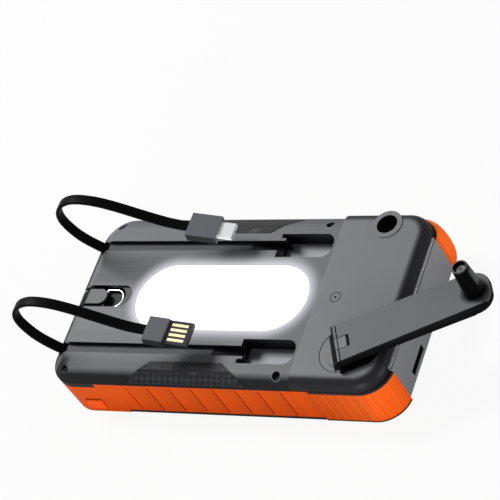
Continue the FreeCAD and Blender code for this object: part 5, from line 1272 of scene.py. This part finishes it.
class BANK_OT_stage(bpy.types.Operator):
    """Set the pale floor, the lamps and the surroundings"""

    bl_idname = "bank.stage"
    bl_label = "Stage"

    def execute(self, context):
        mesh = bpy.data.meshes.new("floor")
        corners = [(-1, -1), (1, -1), (1, 1), (-1, 1)]
        mesh.from_pydata(
            [(x * FLOOR_HALF, y * FLOOR_HALF, FLOOR_HEIGHT) for x, y in corners],
            [], [(0, 1, 2, 3)],
        )
        floor = bpy.data.objects.new("floor", mesh)
        context.scene.collection.objects.link(floor)
        mesh.materials.append(self.floor_paint())
        for name, place, power in LIGHTS:
            self.light(context, name, place, power)
        context.scene.world = self.surroundings()
        context.scene.view_settings.view_transform = "Standard"
        return {"FINISHED"}

    def floor_paint(self):
        """Pale paint, lifted to white where the camera sees it unshaded."""
        paint = Finish("floor_paint")
        seen = paint.node("ShaderNodeLightPath", output="Is Camera Ray")
        pale = paint.grey(paint.noise(0.01), 0.78, 0.8)
        matt = paint.node("ShaderNodeBsdfDiffuse", {}, {"Color": pale})
        light = paint.node("ShaderNodeEmission", {}, {"Color": [1, 1, 1], "Strength": 1.0})
        both = paint.node("ShaderNodeMixShader", {}, {0: seen * FLOOR_LIFT, 1: matt, 2: light})
        paint.node("ShaderNodeOutputMaterial", {}, {"Surface": both}, None)
        return paint.material

    def surroundings(self):
        """A world that is white to the camera, dim as light and brighter in gloss."""
        world = bpy.data.worlds.new("surroundings")
        world.use_nodes = True
        sky = ShaderTree(world.node_tree)
        seen = sky.node("ShaderNodeLightPath", output="Is Camera Ray")
        mirrored = Wire(sky, seen.socket.node.outputs["Is Glossy Ray"])
        strength = seen * (1 - AMBIENT) + AMBIENT + mirrored * MIRRORED
        light = sky.node("ShaderNodeBackground", {}, {"Color": [1, 1, 1], "Strength": strength})
        sky.node("ShaderNodeOutputWorld", {}, {"Surface": light}, None)
        return world

    def light(self, context, name, place, power):
        """A square light that is aimed at the body."""
        lamp = bpy.data.lights.new(name, "AREA")
        lamp.size = LIGHT_SIZE
        lamp.energy = power
        made = bpy.data.objects.new(name, lamp)
        made.location = place
        aim = Vector(LIGHT_AIM) - Vector(place)
        made.rotation_mode = "QUATERNION"
        made.rotation_quaternion = aim.to_track_quat("-Z", "Y")
        context.scene.collection.objects.link(made)


STEPS = [
    BANK_OT_camera, BANK_OT_leads, BANK_OT_case, BANK_OT_bumpers, BANK_OT_inlays, BANK_OT_lamp,
    BANK_OT_hook, BANK_OT_plugs, BANK_OT_crank, BANK_OT_metalwork, BANK_OT_trim, BANK_OT_stage,
]


class BANK_PT_panel(bpy.types.Panel):
    """Steps, sizes and colours of the power bank"""

    bl_label = "Power bank"
    bl_idname = "BANK_PT_panel"
    bl_space_type = "VIEW_3D"
    bl_region_type = "UI"
    bl_category = "Power bank"

    def draw(self, context):
        column = self.layout.column()
        for step in STEPS:
            column.operator(step.bl_idname)
        for group in (context.scene.bank_sizes, context.scene.bank_colours):
            for name in group.bl_rna.properties.keys():
                if name not in ("rna_type", "name"):
                    column.prop(group, name)


CLASSES = [BankColours, BankSizes, *STEPS, BANK_PT_panel]


def register():
    """Make the classes and the scene's settings known."""
    for one in CLASSES:
        bpy.utils.register_class(one)
    bpy.types.Scene.bank_colours = bpy.props.PointerProperty(type=BankColours)
    bpy.types.Scene.bank_sizes = bpy.props.PointerProperty(type=BankSizes)


def unregister():
    """Take the settings and the classes away again."""
    del bpy.types.Scene.bank_sizes
    del bpy.types.Scene.bank_colours
    for one in reversed(CLASSES):
        bpy.utils.unregister_class(one)


def main():
    """Dress the part step by step."""
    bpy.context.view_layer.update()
    register()
    bpy.ops.bank.camera()
    bpy.ops.bank.leads()
    bpy.ops.bank.case()
    bpy.ops.bank.bumpers()
    bpy.ops.bank.inlays()
    bpy.ops.bank.lamp()
    bpy.ops.bank.hook()
    bpy.ops.bank.plugs()
    bpy.ops.bank.crank()
    bpy.ops.bank.metalwork()
    bpy.ops.bank.trim()
    bpy.ops.bank.stage()


if __name__ == "__main__":
    main()
